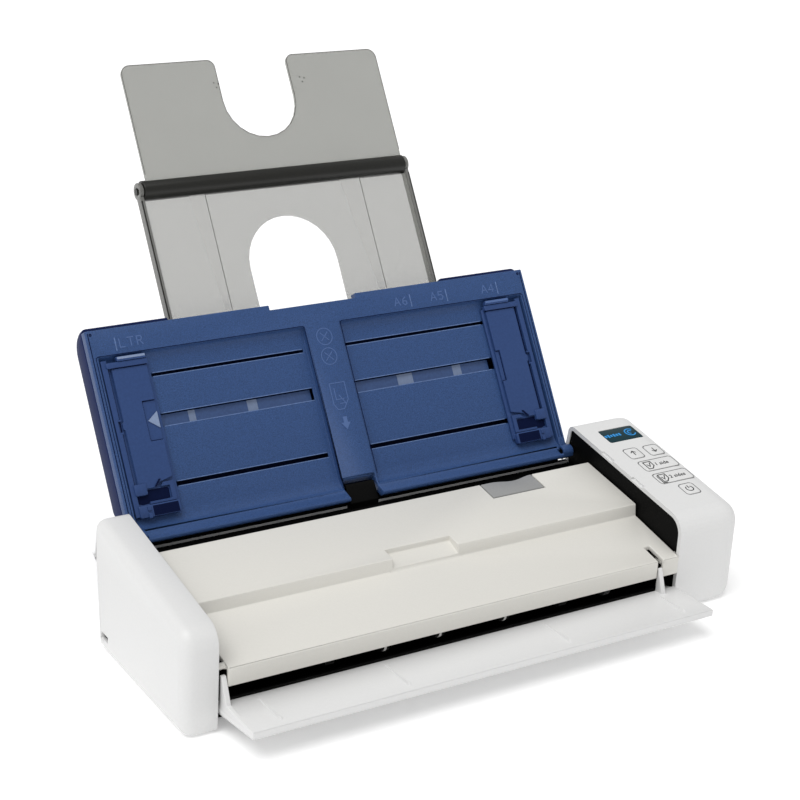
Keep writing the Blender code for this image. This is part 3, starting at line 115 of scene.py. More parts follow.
@dataclass(frozen=True)
class Finish:
    """A moulded or coated surface, with its grain and small changes of tone.

    Args:
        colour: The middle tone, linear red, green and blue.
        roughness: The middle roughness.
        grain: How many bumps there are in a metre, or 0 for none.
        depth: How strong the grain is, from 0 to 1.
        mottle: How far the tone wanders from its middle.
        coat: The strength of a clear coat.
        metallic: 1 for a bare metal.
        alpha: How solid the piece is, where 1 lets nothing through.
        glow: The strength of its own light.
        gloss: How much it reflects head on, where 0.5 is common plastic.
    """

    colour: tuple[float, float, float]
    roughness: float
    grain: float = 0.0
    depth: float = 0.0
    mottle: float = 0.03
    coat: float = 0.0
    metallic: float = 0.0
    alpha: float = 1.0
    glow: float = 0.0
    gloss: float = 0.5

    def material(self, name: str) -> bpy.types.Material:
        """Builds the node material.

        Args:
            name: The material's name.

        Returns:
            The new material.
        """
        made = bpy.data.materials.new(name)
        made.use_nodes = True
        nodes, links = made.node_tree.nodes, made.node_tree.links
        shader = nodes["Principled BSDF"]
        shader.inputs["Metallic"].default_value = self.metallic
        shader.inputs["Coat Weight"].default_value = self.coat
        shader.inputs["Coat Roughness"].default_value = 0.2
        shader.inputs["Alpha"].default_value = self.alpha
        shader.inputs["Specular IOR Level"].default_value = self.gloss
        place = nodes.new("ShaderNodeTexCoord")
        cloud = nodes.new("ShaderNodeTexNoise")
        cloud.inputs["Scale"].default_value = 38.0
        cloud.inputs["Detail"].default_value = 4.0
        links.new(place.outputs["Object"], cloud.inputs["Vector"])
        tone = nodes.new("ShaderNodeMix")
        tone.data_type = "RGBA"
        dark = [max(c * (1 - self.mottle), 0.0) for c in self.colour]
        light = [min(c * (1 + self.mottle), 1.0) for c in self.colour]
        tone.inputs["A"].default_value = (*dark, 1.0)
        tone.inputs["B"].default_value = (*light, 1.0)
        links.new(cloud.outputs["Fac"], tone.inputs["Factor"])
        links.new(tone.outputs["Result"], shader.inputs["Base Color"])
        sheen = nodes.new("ShaderNodeMapRange")
        sheen.inputs["To Min"].default_value = max(self.roughness - 0.05, 0.02)
        sheen.inputs["To Max"].default_value = min(self.roughness + 0.05, 1.0)
        links.new(cloud.outputs["Fac"], sheen.inputs["Value"])
        links.new(sheen.outputs["Result"], shader.inputs["Roughness"])
        if self.glow:
            shader.inputs["Emission Color"].default_value = (*self.colour, 1.0)
            shader.inputs["Emission Strength"].default_value = self.glow
        if self.grain:
            speck = nodes.new("ShaderNodeTexNoise")
            speck.inputs["Scale"].default_value = self.grain
            speck.inputs["Detail"].default_value = 2.0
            links.new(place.outputs["Object"], speck.inputs["Vector"])
            bump = nodes.new("ShaderNodeBump")
            bump.inputs["Strength"].default_value = self.depth
            bump.inputs["Distance"].default_value = 0.0003
            links.new(speck.outputs["Fac"], bump.inputs["Height"])
            links.new(bump.outputs["Normal"], shader.inputs["Normal"])
            spread = nodes.new("ShaderNodeMapRange")
            spread.inputs["From Min"].default_value = 0.3
            spread.inputs["From Max"].default_value = 0.7
            links.new(speck.outputs["Fac"], spread.inputs["Value"])
            links.new(spread.outputs["Result"], tone.inputs["Factor"])
        return made


FINISHES: dict[Look, Finish] = {
    Look.WHITE: Finish((0.76, 0.76, 0.755), 0.38, 900.0, 0.04, 0.010, 0.05, gloss=0.4),
    Look.IVORY: Finish((0.735, 0.72, 0.672), 0.44, 1100.0, 0.08, 0.012),
    Look.BLUE: Finish((0.031, 0.074, 0.203), 0.44, 2100.0, 0.8, 0.26, gloss=0.3),
    Look.BLUE_SMOOTH: Finish((0.028, 0.062, 0.182), 0.42, 900.0, 0.08, 0.06, gloss=0.25),
    # The tray's blue darkened for the back shell: painted shade on its side.
    Look.SHELL: Finish((0.009, 0.018, 0.078), 0.5, 900.0, 0.10, 0.08, gloss=0.10),
    # Mid blue of the moulded size letters and symbols, also used as the painted highlight on the right
    # guide's head.
    Look.MARK: Finish((0.075, 0.140, 0.330), 0.42, 0.0, 0.0, 0.05),
    # Painted shade: a dark blue laid in gaps, over the guides' pockets and along the wells' and recesses'
    # edges; also the colour of the tray's seam lines.
    Look.SHADE: Finish((0.003, 0.007, 0.035), 0.6, 0.0, 0.0, 0.1, gloss=0.05),
    # Pale blue for painted light on the stops behind the slot and on the left guide's head, and the fence
    # arrow's own colour.
    Look.PALE_BLUE: Finish((0.22, 0.29, 0.45), 0.38, 900.0, 0.05, 0.05),
    Look.BLACK: Finish((0.0025, 0.0025, 0.0024), 0.60, 1200.0, 0.25, 0.2, gloss=0.08),
    Look.TUBE: Finish((0.010, 0.010, 0.008), 0.36, 1400.0, 0.15, 0.2, gloss=0.4),
    Look.GREY: Finish((0.31, 0.312, 0.31), 0.38, 1100.0, 0.12, 0.03),
    Look.GEAR: Finish((0.45, 0.45, 0.43), 0.4, 800.0, 0.1, 0.05),
    Look.SMOKE: Finish((0.30, 0.305, 0.275), 0.18, 0.0, 0.0, 0.03, 0.2, alpha=0.60, gloss=0.3),
    Look.SMOKE_CLEAR: Finish((0.27, 0.272, 0.248), 0.14, 0.0, 0.0, 0.03, 0.2, alpha=0.46, gloss=0.3),
    Look.RAIL: Finish((0.17, 0.17, 0.16), 0.25, 0.0, 0.0, 0.05, 0.3, alpha=0.85, gloss=0.4),
    # Lighter blue for the strip behind the middle slot: painted light.
    Look.STRIP: Finish((0.050, 0.105, 0.270), 0.35, 900.0, 0.05, 0.1),
    # Pale blue for painted highlights on the slots' edges, and the size ticks' own colour.
    Look.EDGE: Finish((0.10, 0.17, 0.36), 0.4, 900.0, 0.05, 0.2),
    Look.BAND: Finish((0.62, 0.62, 0.60), 0.3, 0.0, 0.0, 0.05, alpha=0.30, gloss=0.2),
    Look.SEAM: Finish((0.07, 0.07, 0.06), 0.3, 0.0, 0.0, 0.05),
    Look.RUBBER: Finish((0.018, 0.018, 0.018), 0.75, 600.0, 0.3, 0.2),
    Look.WHEEL: Finish((0.62, 0.62, 0.60), 0.45, 600.0, 0.1, 0.05),
    Look.STEEL: Finish((0.55, 0.55, 0.56), 0.28, 500.0, 0.1, 0.05, metallic=1.0),
    Look.BOARD: Finish((0.015, 0.11, 0.045), 0.45, 400.0, 0.2, 0.2),
    Look.GLASS: Finish((0.55, 0.62, 0.60), 0.05, 0.0, 0.0, 0.02, 0.5, alpha=0.35),
    Look.DISPLAY: Finish((0.002, 0.030, 0.040), 0.16, 0.0, 0.0, 0.2, 0.2, gloss=0.12),
    Look.GLOW: Finish((0.010, 0.20, 0.50), 0.4, 0.0, 0.0, 0.3, glow=0.40),
    Look.PRINT: Finish((0.020, 0.021, 0.022), 0.5, 0.0, 0.0, 0.1),
    Look.OUTLINE: Finish((0.20, 0.20, 0.205), 0.5, 0.0, 0.0, 0.1),
}


@dataclass
class Layout:
    """Where the scanner's own millimetres lie in the row frame.

    Args:
        cap_left: The left cap's outer face in the scanner's millimetres.
        cap_front: The caps' front face in the scanner's millimetres.
        tilt: How far the input tray leans back, in degrees.
        pivot: The input tray's pivot, as y and z.
        slope: How steeply the caps' top rises, in degrees.
        corner: The height where the top meets the front face.
    """

    cap_left: float = -139.4
    cap_front: float = -46.3
    tilt: float = 33.0
    pivot: Point = (43.8, 50.4)
    slope: float = 9.1
    corner: float = 48.4
    shift: Vector = field(init=False)

    def __post_init__(self) -> None:
        """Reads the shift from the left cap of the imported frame."""
        low = Vector(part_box("left_end_cap")[0]) / MM
        self.shift = Vector((low.x - self.cap_left, low.y - self.cap_front, 0.0))

    def at(self, x: float, y: float, z: float) -> Vector:
        """A place given in millimetres, in the row frame's metres."""
        return (Vector((x, y, z)) + self.shift) * MM

    def tray(self, x: float, n: float, v: float) -> Vector:
        """A place on the input tray, in the row frame's metres.

        Args:
            x: The place across, in millimetres.
            n: How deep it lies behind the tray's pivot.
            v: How far up along the tray it lies.

        Returns:
            The place.
        """
        lean = radians(self.tilt)
        y = self.pivot[0] + n * cos(lean) + v * sin(lean)
        z = self.pivot[1] - n * sin(lean) + v * cos(lean)
        return self.at(x, y, z)

    def top(self, x: float, y: float, lift: float) -> Vector:
        """A place on the caps' sloping top, in the row frame's metres.

        Args:
            x: The place across, in millimetres.
            y: The place along, in millimetres.
            lift: How far it is lifted off the top.

        Returns:
            The place.
        """
        lean = radians(self.slope)
        z = self.corner + tan(lean) * (y - self.cap_front)
        return self.at(x, y - lift * sin(lean), z + lift * cos(lean))


class Stroke:
    """Symbols and letters as polylines in a unit box, x to the right and y up."""

    PITCH = 1.05
    LETTERS: dict[str, list[list[Point]]] = {
        "A": [[(0.0, 0.0), (0.4, 1.0), (0.8, 0.0)], [(0.16, 0.36), (0.64, 0.36)]],
        "L": [[(0.1, 1.0), (0.1, 0.0), (0.7, 0.0)]],
        "T": [[(0.0, 1.0), (0.8, 1.0)], [(0.4, 1.0), (0.4, 0.0)]],
        "R": [
            [(0.1, 0.0), (0.1, 1.0), (0.55, 1.0), (0.7, 0.8), (0.55, 0.52), (0.1, 0.5)],
            [(0.4, 0.5), (0.75, 0.0)],
        ],
        "4": [[(0.55, 0.0), (0.55, 1.0), (0.0, 0.32), (0.75, 0.32)]],
        "5": [[(0.7, 1.0), (0.15, 1.0), (0.1, 0.58), (0.5, 0.62), (0.72, 0.35), (0.5, 0.02), (0.08, 0.1)]],
        "6": [
            [(0.6, 0.98), (0.2, 0.7), (0.1, 0.3), (0.35, 0.0), (0.65, 0.15), (0.62, 0.45), (0.3, 0.52),
             (0.12, 0.35)],
        ],
    }

    @staticmethod
    def circle(x: float, y: float, radius: float, start: float = 0.0, turn: float = 360.0) -> list[Point]:
        """Points along a circle's arc.

        Args:
            x: The centre's place across.
            y: The centre's place up.
            radius: The circle's radius.
            start: The angle of the first point, in degrees.
            turn: How far the arc turns, in degrees.

        Returns:
            The arc's points, its two ends among them.
        """
        steps = max(6, int(abs(turn) / 15))
        angles = [radians(start + turn * k / steps) for k in range(steps + 1)]
        return [(x + radius * cos(a), y + radius * sin(a)) for a in angles]

    @classmethod
    def word(cls, text: str, x: float, y: float, tall: float) -> list[list[Point]]:
        """Strokes of a short size mark.

        Args:
            text: What it says.
            x: Where it starts.
            y: What it stands on.
            tall: The height of its letters.

        Returns:
            The strokes, as polylines.
        """
        lines = []
        for place, letter in enumerate(text):
            for line in cls.LETTERS[letter]:
                lines.append([(x + (place * cls.PITCH + a) * tall, y + b * tall) for a, b in line])
        return lines


def loft(shape: bmesh.types.BMesh, rows: Sequence[Sequence[bmesh.types.BMVert]]) -> None:
    """Closes a body over rings of corners that follow each other.

    Args:
        shape: The body to close.
        rows: Its rings, which all have as many corners.
    """
    for one, two in zip(rows, rows[1:]):
        for k in range(len(one)):
            j = (k + 1) % len(one)
            shape.faces.new((one[k], one[j], two[j], two[k]))
    shape.faces.new(rows[0][::-1])
    shape.faces.new(rows[-1])


def mesh_of(shape: bmesh.types.BMesh, name: str) -> bpy.types.Mesh:
    """Turns a body's faces outwards and makes it a mesh.

    Args:
        shape: The body, which is freed.
        name: The mesh's name.

    Returns:
        The new mesh.
    """
    bmesh.ops.recalc_face_normals(shape, faces=shape.faces)
    mesh = bpy.data.meshes.new(name)
    shape.to_mesh(mesh)
    shape.free()
    return mesh


def smooth(mesh: bpy.types.Mesh) -> None:
    """Shades a mesh smooth between its sharp edges."""
    mesh.shade_smooth()
    mesh.set_sharp_from_angle(angle=SHARP)


def round_edges(piece: bpy.types.Object, width: float, segments: int = 3) -> bpy.types.Modifier:
    """Rounds a piece's sharp edges.

    Args:
        piece: The piece.
        width: The rounding in millimetres.
        segments: How many faces each rounding has.

    Returns:
        The Bevel modifier.
    """
    bevel = piece.modifiers.new("rounding", "BEVEL")
    bevel.width = width * MM
    bevel.segments = segments
    bevel.limit_method = "ANGLE"
    bevel.angle_limit = SHARP
    bevel.harden_normals = True
    return bevel


class Workshop:
    """Makes, dresses and places every piece, so that the sub-assemblies stay short."""

    def __init__(self, frame: dict) -> None:
        """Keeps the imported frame's nodes, bodies and material slots.
        """
        self.nodes: dict[str, bpy.types.Object] = frame["nodes"]
        record = frame["record"]
        bodies = record["behaviour"]["bodies"]
        self.body_of = {node: body for body, nodes in bodies.items() for node in nodes}
        self.slot_of = {part["node"]: part["material_slot"] for part in record["subparts"]}
        self.layout = Layout()
        self.materials = {look: finish.material(look.value) for look, finish in FINISHES.items()}

    def dress(self, node: str, look: Look) -> None:
        """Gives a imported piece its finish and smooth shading.

        Args:
            node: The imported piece.
            look: Its finish.
        """
        mesh = self.nodes[node].data
        mesh.materials.clear()
        mesh.materials.append(self.materials[look])
        smooth(mesh)

    def add(self, name: str, mesh: bpy.types.Mesh, look: Look, body: str, slot: str) -> bpy.types.Object:
        """Places a new mesh on a body.

        Args:
            name: The piece's name.
            mesh: Its mesh in the row frame.
            look: Its finish.
            body: The body that carries it.
            slot: The record's material slot; not used.

        Returns:
            The new object.
        """
        piece = bpy.data.objects.new(name, mesh)
        bpy.context.scene.collection.objects.link(piece)
        mesh.materials.clear()
        mesh.materials.append(self.materials[look])
        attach(piece, body)
        LOG.info("made %s on %s", name, body)
        return piece

    def soften(self, node: str, look: Look, width: float, segments: int = 3) -> bpy.types.Object:
        """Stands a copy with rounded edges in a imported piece's place.

        Args:
            node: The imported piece.
            look: Its finish.
            width: The rounding of its sharp edges in millimetres.
            segments: How many faces each rounding has.

        Returns:
            The new object.
        """
        source = self.nodes[node]
        shape = bmesh.new()
        shape.from_mesh(source.data)
        shape.transform(source.matrix_world)
        bmesh.ops.remove_doubles(shape, verts=shape.verts, dist=2e-6)
        bmesh.ops.dissolve_limit(shape, angle_limit=radians(0.8), verts=shape.verts, edges=shape.edges)
        bmesh.ops.dissolve_degenerate(shape, dist=3e-5, edges=shape.edges)
        many = [face for face in shape.faces if len(face.verts) > 4]
        bmesh.ops.triangulate(shape, faces=many, quad_method="BEAUTY", ngon_method="BEAUTY")
        mesh = bpy.data.meshes.new(f"{node}_shell")
        shape.to_mesh(mesh)
        shape.free()
        mesh.shade_smooth()
        piece = self.add(f"{node}_shell", mesh, look, self.body_of[node], self.slot_of[node])
        bevel = round_edges(piece, width, segments)
        bevel.use_clamp_overlap = False
        bevel.loop_slide = False
        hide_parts(node)
        return piece

    def prism(
        self, name: str, outline: Sequence[Point], place: Matrix, low: float, high: float,
        look: Look, body: str, slot: str, width: float = 0.0,
    ) -> bpy.types.Object:
        """A flat piece of an outline, pushed up from a plane.

        Args:
            name: The piece's name.
            outline: Its corners in millimetres in the plane.
            place: The plane: its x, y and normal, in metres.
            low: Where it starts along the normal, in millimetres.
            high: Where it ends.
            look: Its finish.
            body: The body that carries it.
            slot: The record's material slot.
            width: The rounding of its edges in millimetres.

        Returns:
            The new object.
        """
        shape = bmesh.new()
        loft(shape, [
            [shape.verts.new(place @ (Vector((a, b, h)) * MM)) for a, b in outline] for h in (low, high)
        ])
        piece = self.add(name, mesh_of(shape, name), look, body, slot)
        if width:
            piece.data.shade_smooth()
            round_edges(piece, width)
        return piece

    def ribbon(
        self, name: str, lines: Iterable[Sequence[Point]], place: Matrix, wide: float, tall: float,
        look: Look, body: str, slot: str,
    ) -> bpy.types.Object:
        """Thin raised or printed lines on a plane, also used for painted highlights and painted shade.

        Args:
            name: The piece's name.
            lines: Polylines in millimetres in the plane.
            place: The plane: its x, y and normal, in metres.
            wide: The width of a line in millimetres.
            tall: Its height above the plane in millimetres.
            look: Its finish.
            body: The body that carries it.
            slot: The record's material slot.

        Returns:
            The new object.
        """
        shape = bmesh.new()
        for line in lines:
            points = [Vector(point) for point in line]
            closed = (points[0] - points[-1]).length < 1e-4
            if closed:
                points = points[:-1]
            count = len(points)
            sides = []
            for k, here in enumerate(points):
                before = points[k - 1] if k or closed else here
                after = points[(k + 1) % count] if k < count - 1 or closed else here
                one = (here - before).normalized() if here != before else (after - here).normalized()
                two = (after - here).normalized() if here != after else one
                across = Vector((-(one + two).y, (one + two).x))
                across = across.normalized() if across.length > 1e-6 else Vector((-one.y, one.x))
                reach = wide / 2 / max(across.dot(Vector((-one.y, one.x))), 0.5)
                sides.append([
                    shape.verts.new(place @ (Vector((*(here + across * reach * way), h)) * MM))
                    for way, h in ((1, -0.05), (1, tall), (-1, tall), (-1, -0.05))
                ])
            for k in range(count if closed else count - 1):
                one, two = sides[k], sides[(k + 1) % count]
                for i in range(4):
                    j = (i + 1) % 4
                    shape.faces.new((one[i], one[j], two[j], two[i]))
            if not closed:
                shape.faces.new(sides[0])
                shape.faces.new(sides[-1][::-1])
        return self.add(name, mesh_of(shape, name), look, body, slot)

    def text(
        self, name: str, words: str, place: Matrix, start: Point, tall: float, look: Look, body: str,
        slot: str, slant: float = 0.0,
    ) -> bpy.types.Object:
        """Plain printed letters on a plane.

        Args:
            name: The piece's name.
            words: What they say.
            place: The plane: its x, y and normal, in metres.
            start: The lower left corner, in millimetres in the plane.
            tall: The size of the letters in millimetres.
            look: Their finish.
            body: The body that carries them.
            slot: The record's material slot.
            slant: How far they lean.

        Returns:
            The new object.
        """
        curve = bpy.data.curves.new(name, "FONT")
        curve.body = words
        curve.size = tall
        curve.shear = slant
        curve.extrude = 0.04
        curve.offset = 0.05
        curve.resolution_u = 3
        holder = bpy.data.objects.new(name, curve)
        mesh = bpy.data.meshes.new_from_object(holder)
        bpy.data.objects.remove(holder)
        mesh.transform(place @ Matrix.Scale(MM, 4) @ Matrix.Translation((*start, 0.02)))
        return self.add(name, mesh, look, body, slot)

    def height_of(self, node: str, x: float, y: float) -> float:
        """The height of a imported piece's upper side.

        Args:
            node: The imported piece.
            x: The place across, in millimetres.
            y: The place along, in millimetres.

        Returns:
            The height in millimetres.
        """
        item = self.nodes[node]
        points = [item.matrix_world @ corner.co for corner in item.data.vertices]
        tree = BVHTree.FromPolygons(points, [face.vertices for face in item.data.polygons])
        hit = tree.ray_cast(self.layout.at(x, y, 400.0), Vector((0, 0, -1)))[0]
        return hit.z / MM

    def turned(
        self, name: str, rings: Sequence[Point], place: Matrix, count: int, look: Look, body: str,
        slot: str,
    ) -> bpy.types.Object:
        """A round piece about an axis.

        Args:
            name: The piece's name.
            rings: Each ring's place along the axis and its radius, in millimetres.
            place: The piece's axes in metres, with y along the axis it turns about.
            count: How many corners each ring has.
            look: Its finish.
            body: The body that carries it.
            slot: The record's material slot.

        Returns:
            The new object.
        """
        shape = bmesh.new()
        angles = [2 * pi * k / count for k in range(count)]
        loft(shape, [
            [shape.verts.new(place @ (Vector((wide * cos(a), along, wide * sin(a))) * MM)) for a in angles]
            for along, wide in rings
        ])
        mesh = mesh_of(shape, name)
        smooth(mesh)
        return self.add(name, mesh, look, body, slot)

    def plane_on_tray(self, n: float) -> Matrix:
        """The plane of the input tray, whose normal points at the operator.

        Args:
            n: How deep it lies behind the tray's pivot, in millimetres.

        Returns:
            Its x, y and normal, in metres.
        """
        lean = radians(self.layout.tilt)
        up = Vector((0, sin(lean), cos(lean)))
        out = Vector((0, -cos(lean), sin(lean)))
        turn = Matrix((Vector((1, 0, 0)), up, out)).transposed().to_4x4()
        return Matrix.Translation(self.layout.tray(0, n, 0)) @ turn

    def plane_on_top(self, x: float, y: float, lift: float) -> Matrix:
        """The plane of the caps' top about a place, whose normal points up."""
        turn = Matrix.Rotation(radians(self.layout.slope), 4, "X")
        return Matrix.Translation(self.layout.top(x, y, lift)) @ turn


def rounded_box(x: Point, y: Point, radius: float, steps: int = 5) -> list[Point]:
    """The outline of a rectangle with round corners.

    Args:
        x: Its left and right sides.
        y: Its lower and upper sides.
        radius: The radius of its corners.
        steps: How many pieces each corner's arc has.

    Returns:
        Its points, turning left from the lower right corner.
    """
    points = []
    for a, b, start in ((x[1], y[0], -90), (x[1], y[1], 0), (x[0], y[1], 90), (x[0], y[0], 180)):
        ca = a - radius if a == x[1] else a + radius
        cb = b - radius if b == y[1] else b + radius
        for k in range(steps + 1):
            turn = radians(start + 90 * k / steps)
            points.append((ca + radius * cos(turn), cb + radius * sin(turn)))
    return points


@dataclass
class Housing:
    """The end caps, the inner walls, the black paper path and the base."""

    shop: Workshop
    cap_rounding: float = 0.35
    guide_rounding: float = 0.5
    rim: float = 41.0
    seal_low: tuple[float, float, float] = (-118.0, 47.6, 43.0)
    seal_high: tuple[float, float, float] = (118.5, 48.4, 47.6)

    def build(self) -> None:
        """Dresses the housing's pieces."""
        self.shop.soften("left_end_cap", Look.WHITE, self.cap_rounding)
        self.shop.dress("right_end_cap", Look.WHITE)
        rear = self.shop.soften("rear_cover", Look.WHITE, self.cap_rounding)
        rear.data.materials.append(self.shop.materials[Look.BLACK])
        for face in rear.data.polygons:
            face.material_index = int(face.center.z > self.rim * MM)
        low, high = (self.shop.layout.at(*end) / MM for end in (self.seal_low, self.seal_high))
        seal = [(low.y, low.z), (high.y, low.z), (high.y, high.z), (low.y, high.z)]
        along_x = Matrix(((0, 0, 1, 0), (1, 0, 0, 0), (0, 1, 0, 0), (0, 0, 0, 1)))
        self.shop.prism(
            "paper_path_seal", seal, along_x, low.x, high.x, Look.BLACK, "housing", "black_plastic"
        )
        for node in ("base_pan", "lower_paper_guide", "entry_guide"):
            self.shop.soften(node, Look.BLACK, self.guide_rounding)
        for node in ("left_inner_wall", "right_inner_wall", "lower_image_sensor"):
            self.shop.dress(node, Look.BLACK)
        for across in ("left", "right"):
            for along in ("front", "rear"):
                self.shop.dress(f"foot_{along}_{across}", Look.RUBBER)
        for node in ("main_board", "button_board", "display_module"):
            self.shop.dress(node, Look.BOARD)
        for node in ("usb_socket", "power_socket"):
            self.shop.dress(node, Look.STEEL)
        self.shop.dress("lower_scan_glass", Look.GLASS)


@dataclass
class OperatorPanel:
    """The display and the five buttons on the right cap."""

    shop: Workshop
    centre_x: float = 144.9
    line: float = 0.55
    gap: float = 0.3
    corner: float = 1.9
    words: dict[str, str] = field(
        default_factory=lambda: {"button_single_side": "1 side", "button_both_sides": "2 sides"}
    )
    buttons: tuple[tuple[str, float, float, float, float], ...] = (
        ("button_up", -5.6, 12.9, 8.6, 9.2),
        ("button_down", 6.8, 12.5, 8.6, 9.2),
        ("button_single_side", 0.9, 0.8, 21.0, 9.0),
        ("button_both_sides", 0.9, -11.2, 21.0, 9.0),
        ("button_power", 1.6, -23.4, 8.6, 9.2),
    )

    def build(self) -> None:
        """Dresses the display and the buttons and prints their symbols."""
        self.shop.soften("display_window", Look.DISPLAY, 0.15)
        self.draw_display()
        for name, x, y, wide, long in self.buttons:
            self.shop.soften(name, Look.WHITE, 0.2)
            place = self.shop.plane_on_top(self.centre_x + x, y, 0.2)
            self.shop.ribbon(
                f"{name}_symbol", self.symbol(name), place, self.line, 0.06, Look.PRINT, name, "black_plastic"
            )
            edge = self.gap / 2
            half_wide, half_long = wide / 2 + edge, long / 2 + edge
            ring = rounded_box((-half_wide, half_wide), (-half_long, half_long), self.corner)
            low = self.shop.plane_on_top(self.centre_x + x, y, 0.0)
            self.shop.ribbon(
                f"{name}_outline", [ring + ring[:1]], low, self.gap + 0.04, 0.03, Look.OUTLINE, "housing",
                "grey_plastic",
            )
            if name in self.words:
                self.shop.text(
                    f"{name}_word", self.words[name], place, (-2.7, -1.3), 3.6, Look.PRINT, name,
                    "black_plastic", 0.15,
                )

    def symbol(self, name: str) -> list[list[Point]]:
        """The plain symbol on a button.

        Args:
            name: The button's node.

        Returns:
            The symbol's strokes, in millimetres about the button's middle.
        """
        if name == "button_up":
            return [[(0, -1.8), (0, 1.7)], [(-1.5, 0.4), (0, 1.9), (1.5, 0.4)]]
        if name == "button_down":
            return [[(0, 1.8), (0, -1.7)], [(-1.5, -0.4), (0, -1.9), (1.5, -0.4)]]
        if name == "button_power":
            return [Stroke.circle(0, 0, 2.0, 125, 290), [(0, 0.4), (0, 2.6)]]
        sheet = [(-8.0, 3.0), (-3.6, 3.0), (-3.6, -0.8), (-5.6, -3.0), (-8.0, -3.0), (-8.0, 3.0)]
        tick = [(-7.0, 0.9), (-6.2, -1.2), (-4.4, 2.1)]
        if name == "button_single_side":
            return [sheet, tick]
        return [sheet, tick, [(-8.9, 2.2), (-8.9, -3.9), (-6.4, -3.9)]]

    def draw_display(self) -> None:
        """Lights a few plain bars and a ring behind the display's glass."""
        place = self.shop.plane_on_top(self.centre_x - 0.4, 30.8, 0.0)
        tall = (0.9, 1.3, 0.8, 1.2, 0.9, 1.1)
        bars = [[(-9.6 + 1.75 * k, -h), (-9.6 + 1.75 * k, h)] for k, h in enumerate(tall)]
        self.shop.ribbon("display_bars", bars, place, 1.15, 0.05, Look.GLOW, "housing", "display_glass")
        ring = [Stroke.circle(6.0, 0.2, 2.9, 40, 290), Stroke.circle(6.0, 0.2, 1.3, 30, 240)]
        self.shop.ribbon("display_ring", ring, place, 0.7, 0.05, Look.GLOW, "housing", "display_glass")


@dataclass
class Cover:
    """The ivory cover, its inner frame and the latch."""

    shop: Workshop
    rounding: float = 0.45

    def build(self) -> None:
        """Dresses the cover's pieces."""
        self.shop.soften("top_cover", Look.IVORY, self.rounding)
        self.shop.soften("cover_latch", Look.GREY, 0.5)
        self.shop.dress("cover_frame", Look.BLACK)
        self.shop.dress("upper_image_sensor", Look.BLACK)
        self.shop.dress("upper_scan_glass", Look.GLASS)
        self.shop.dress("separation_pad", Look.RUBBER)
        self.shop.dress("pad_spring", Look.STEEL)


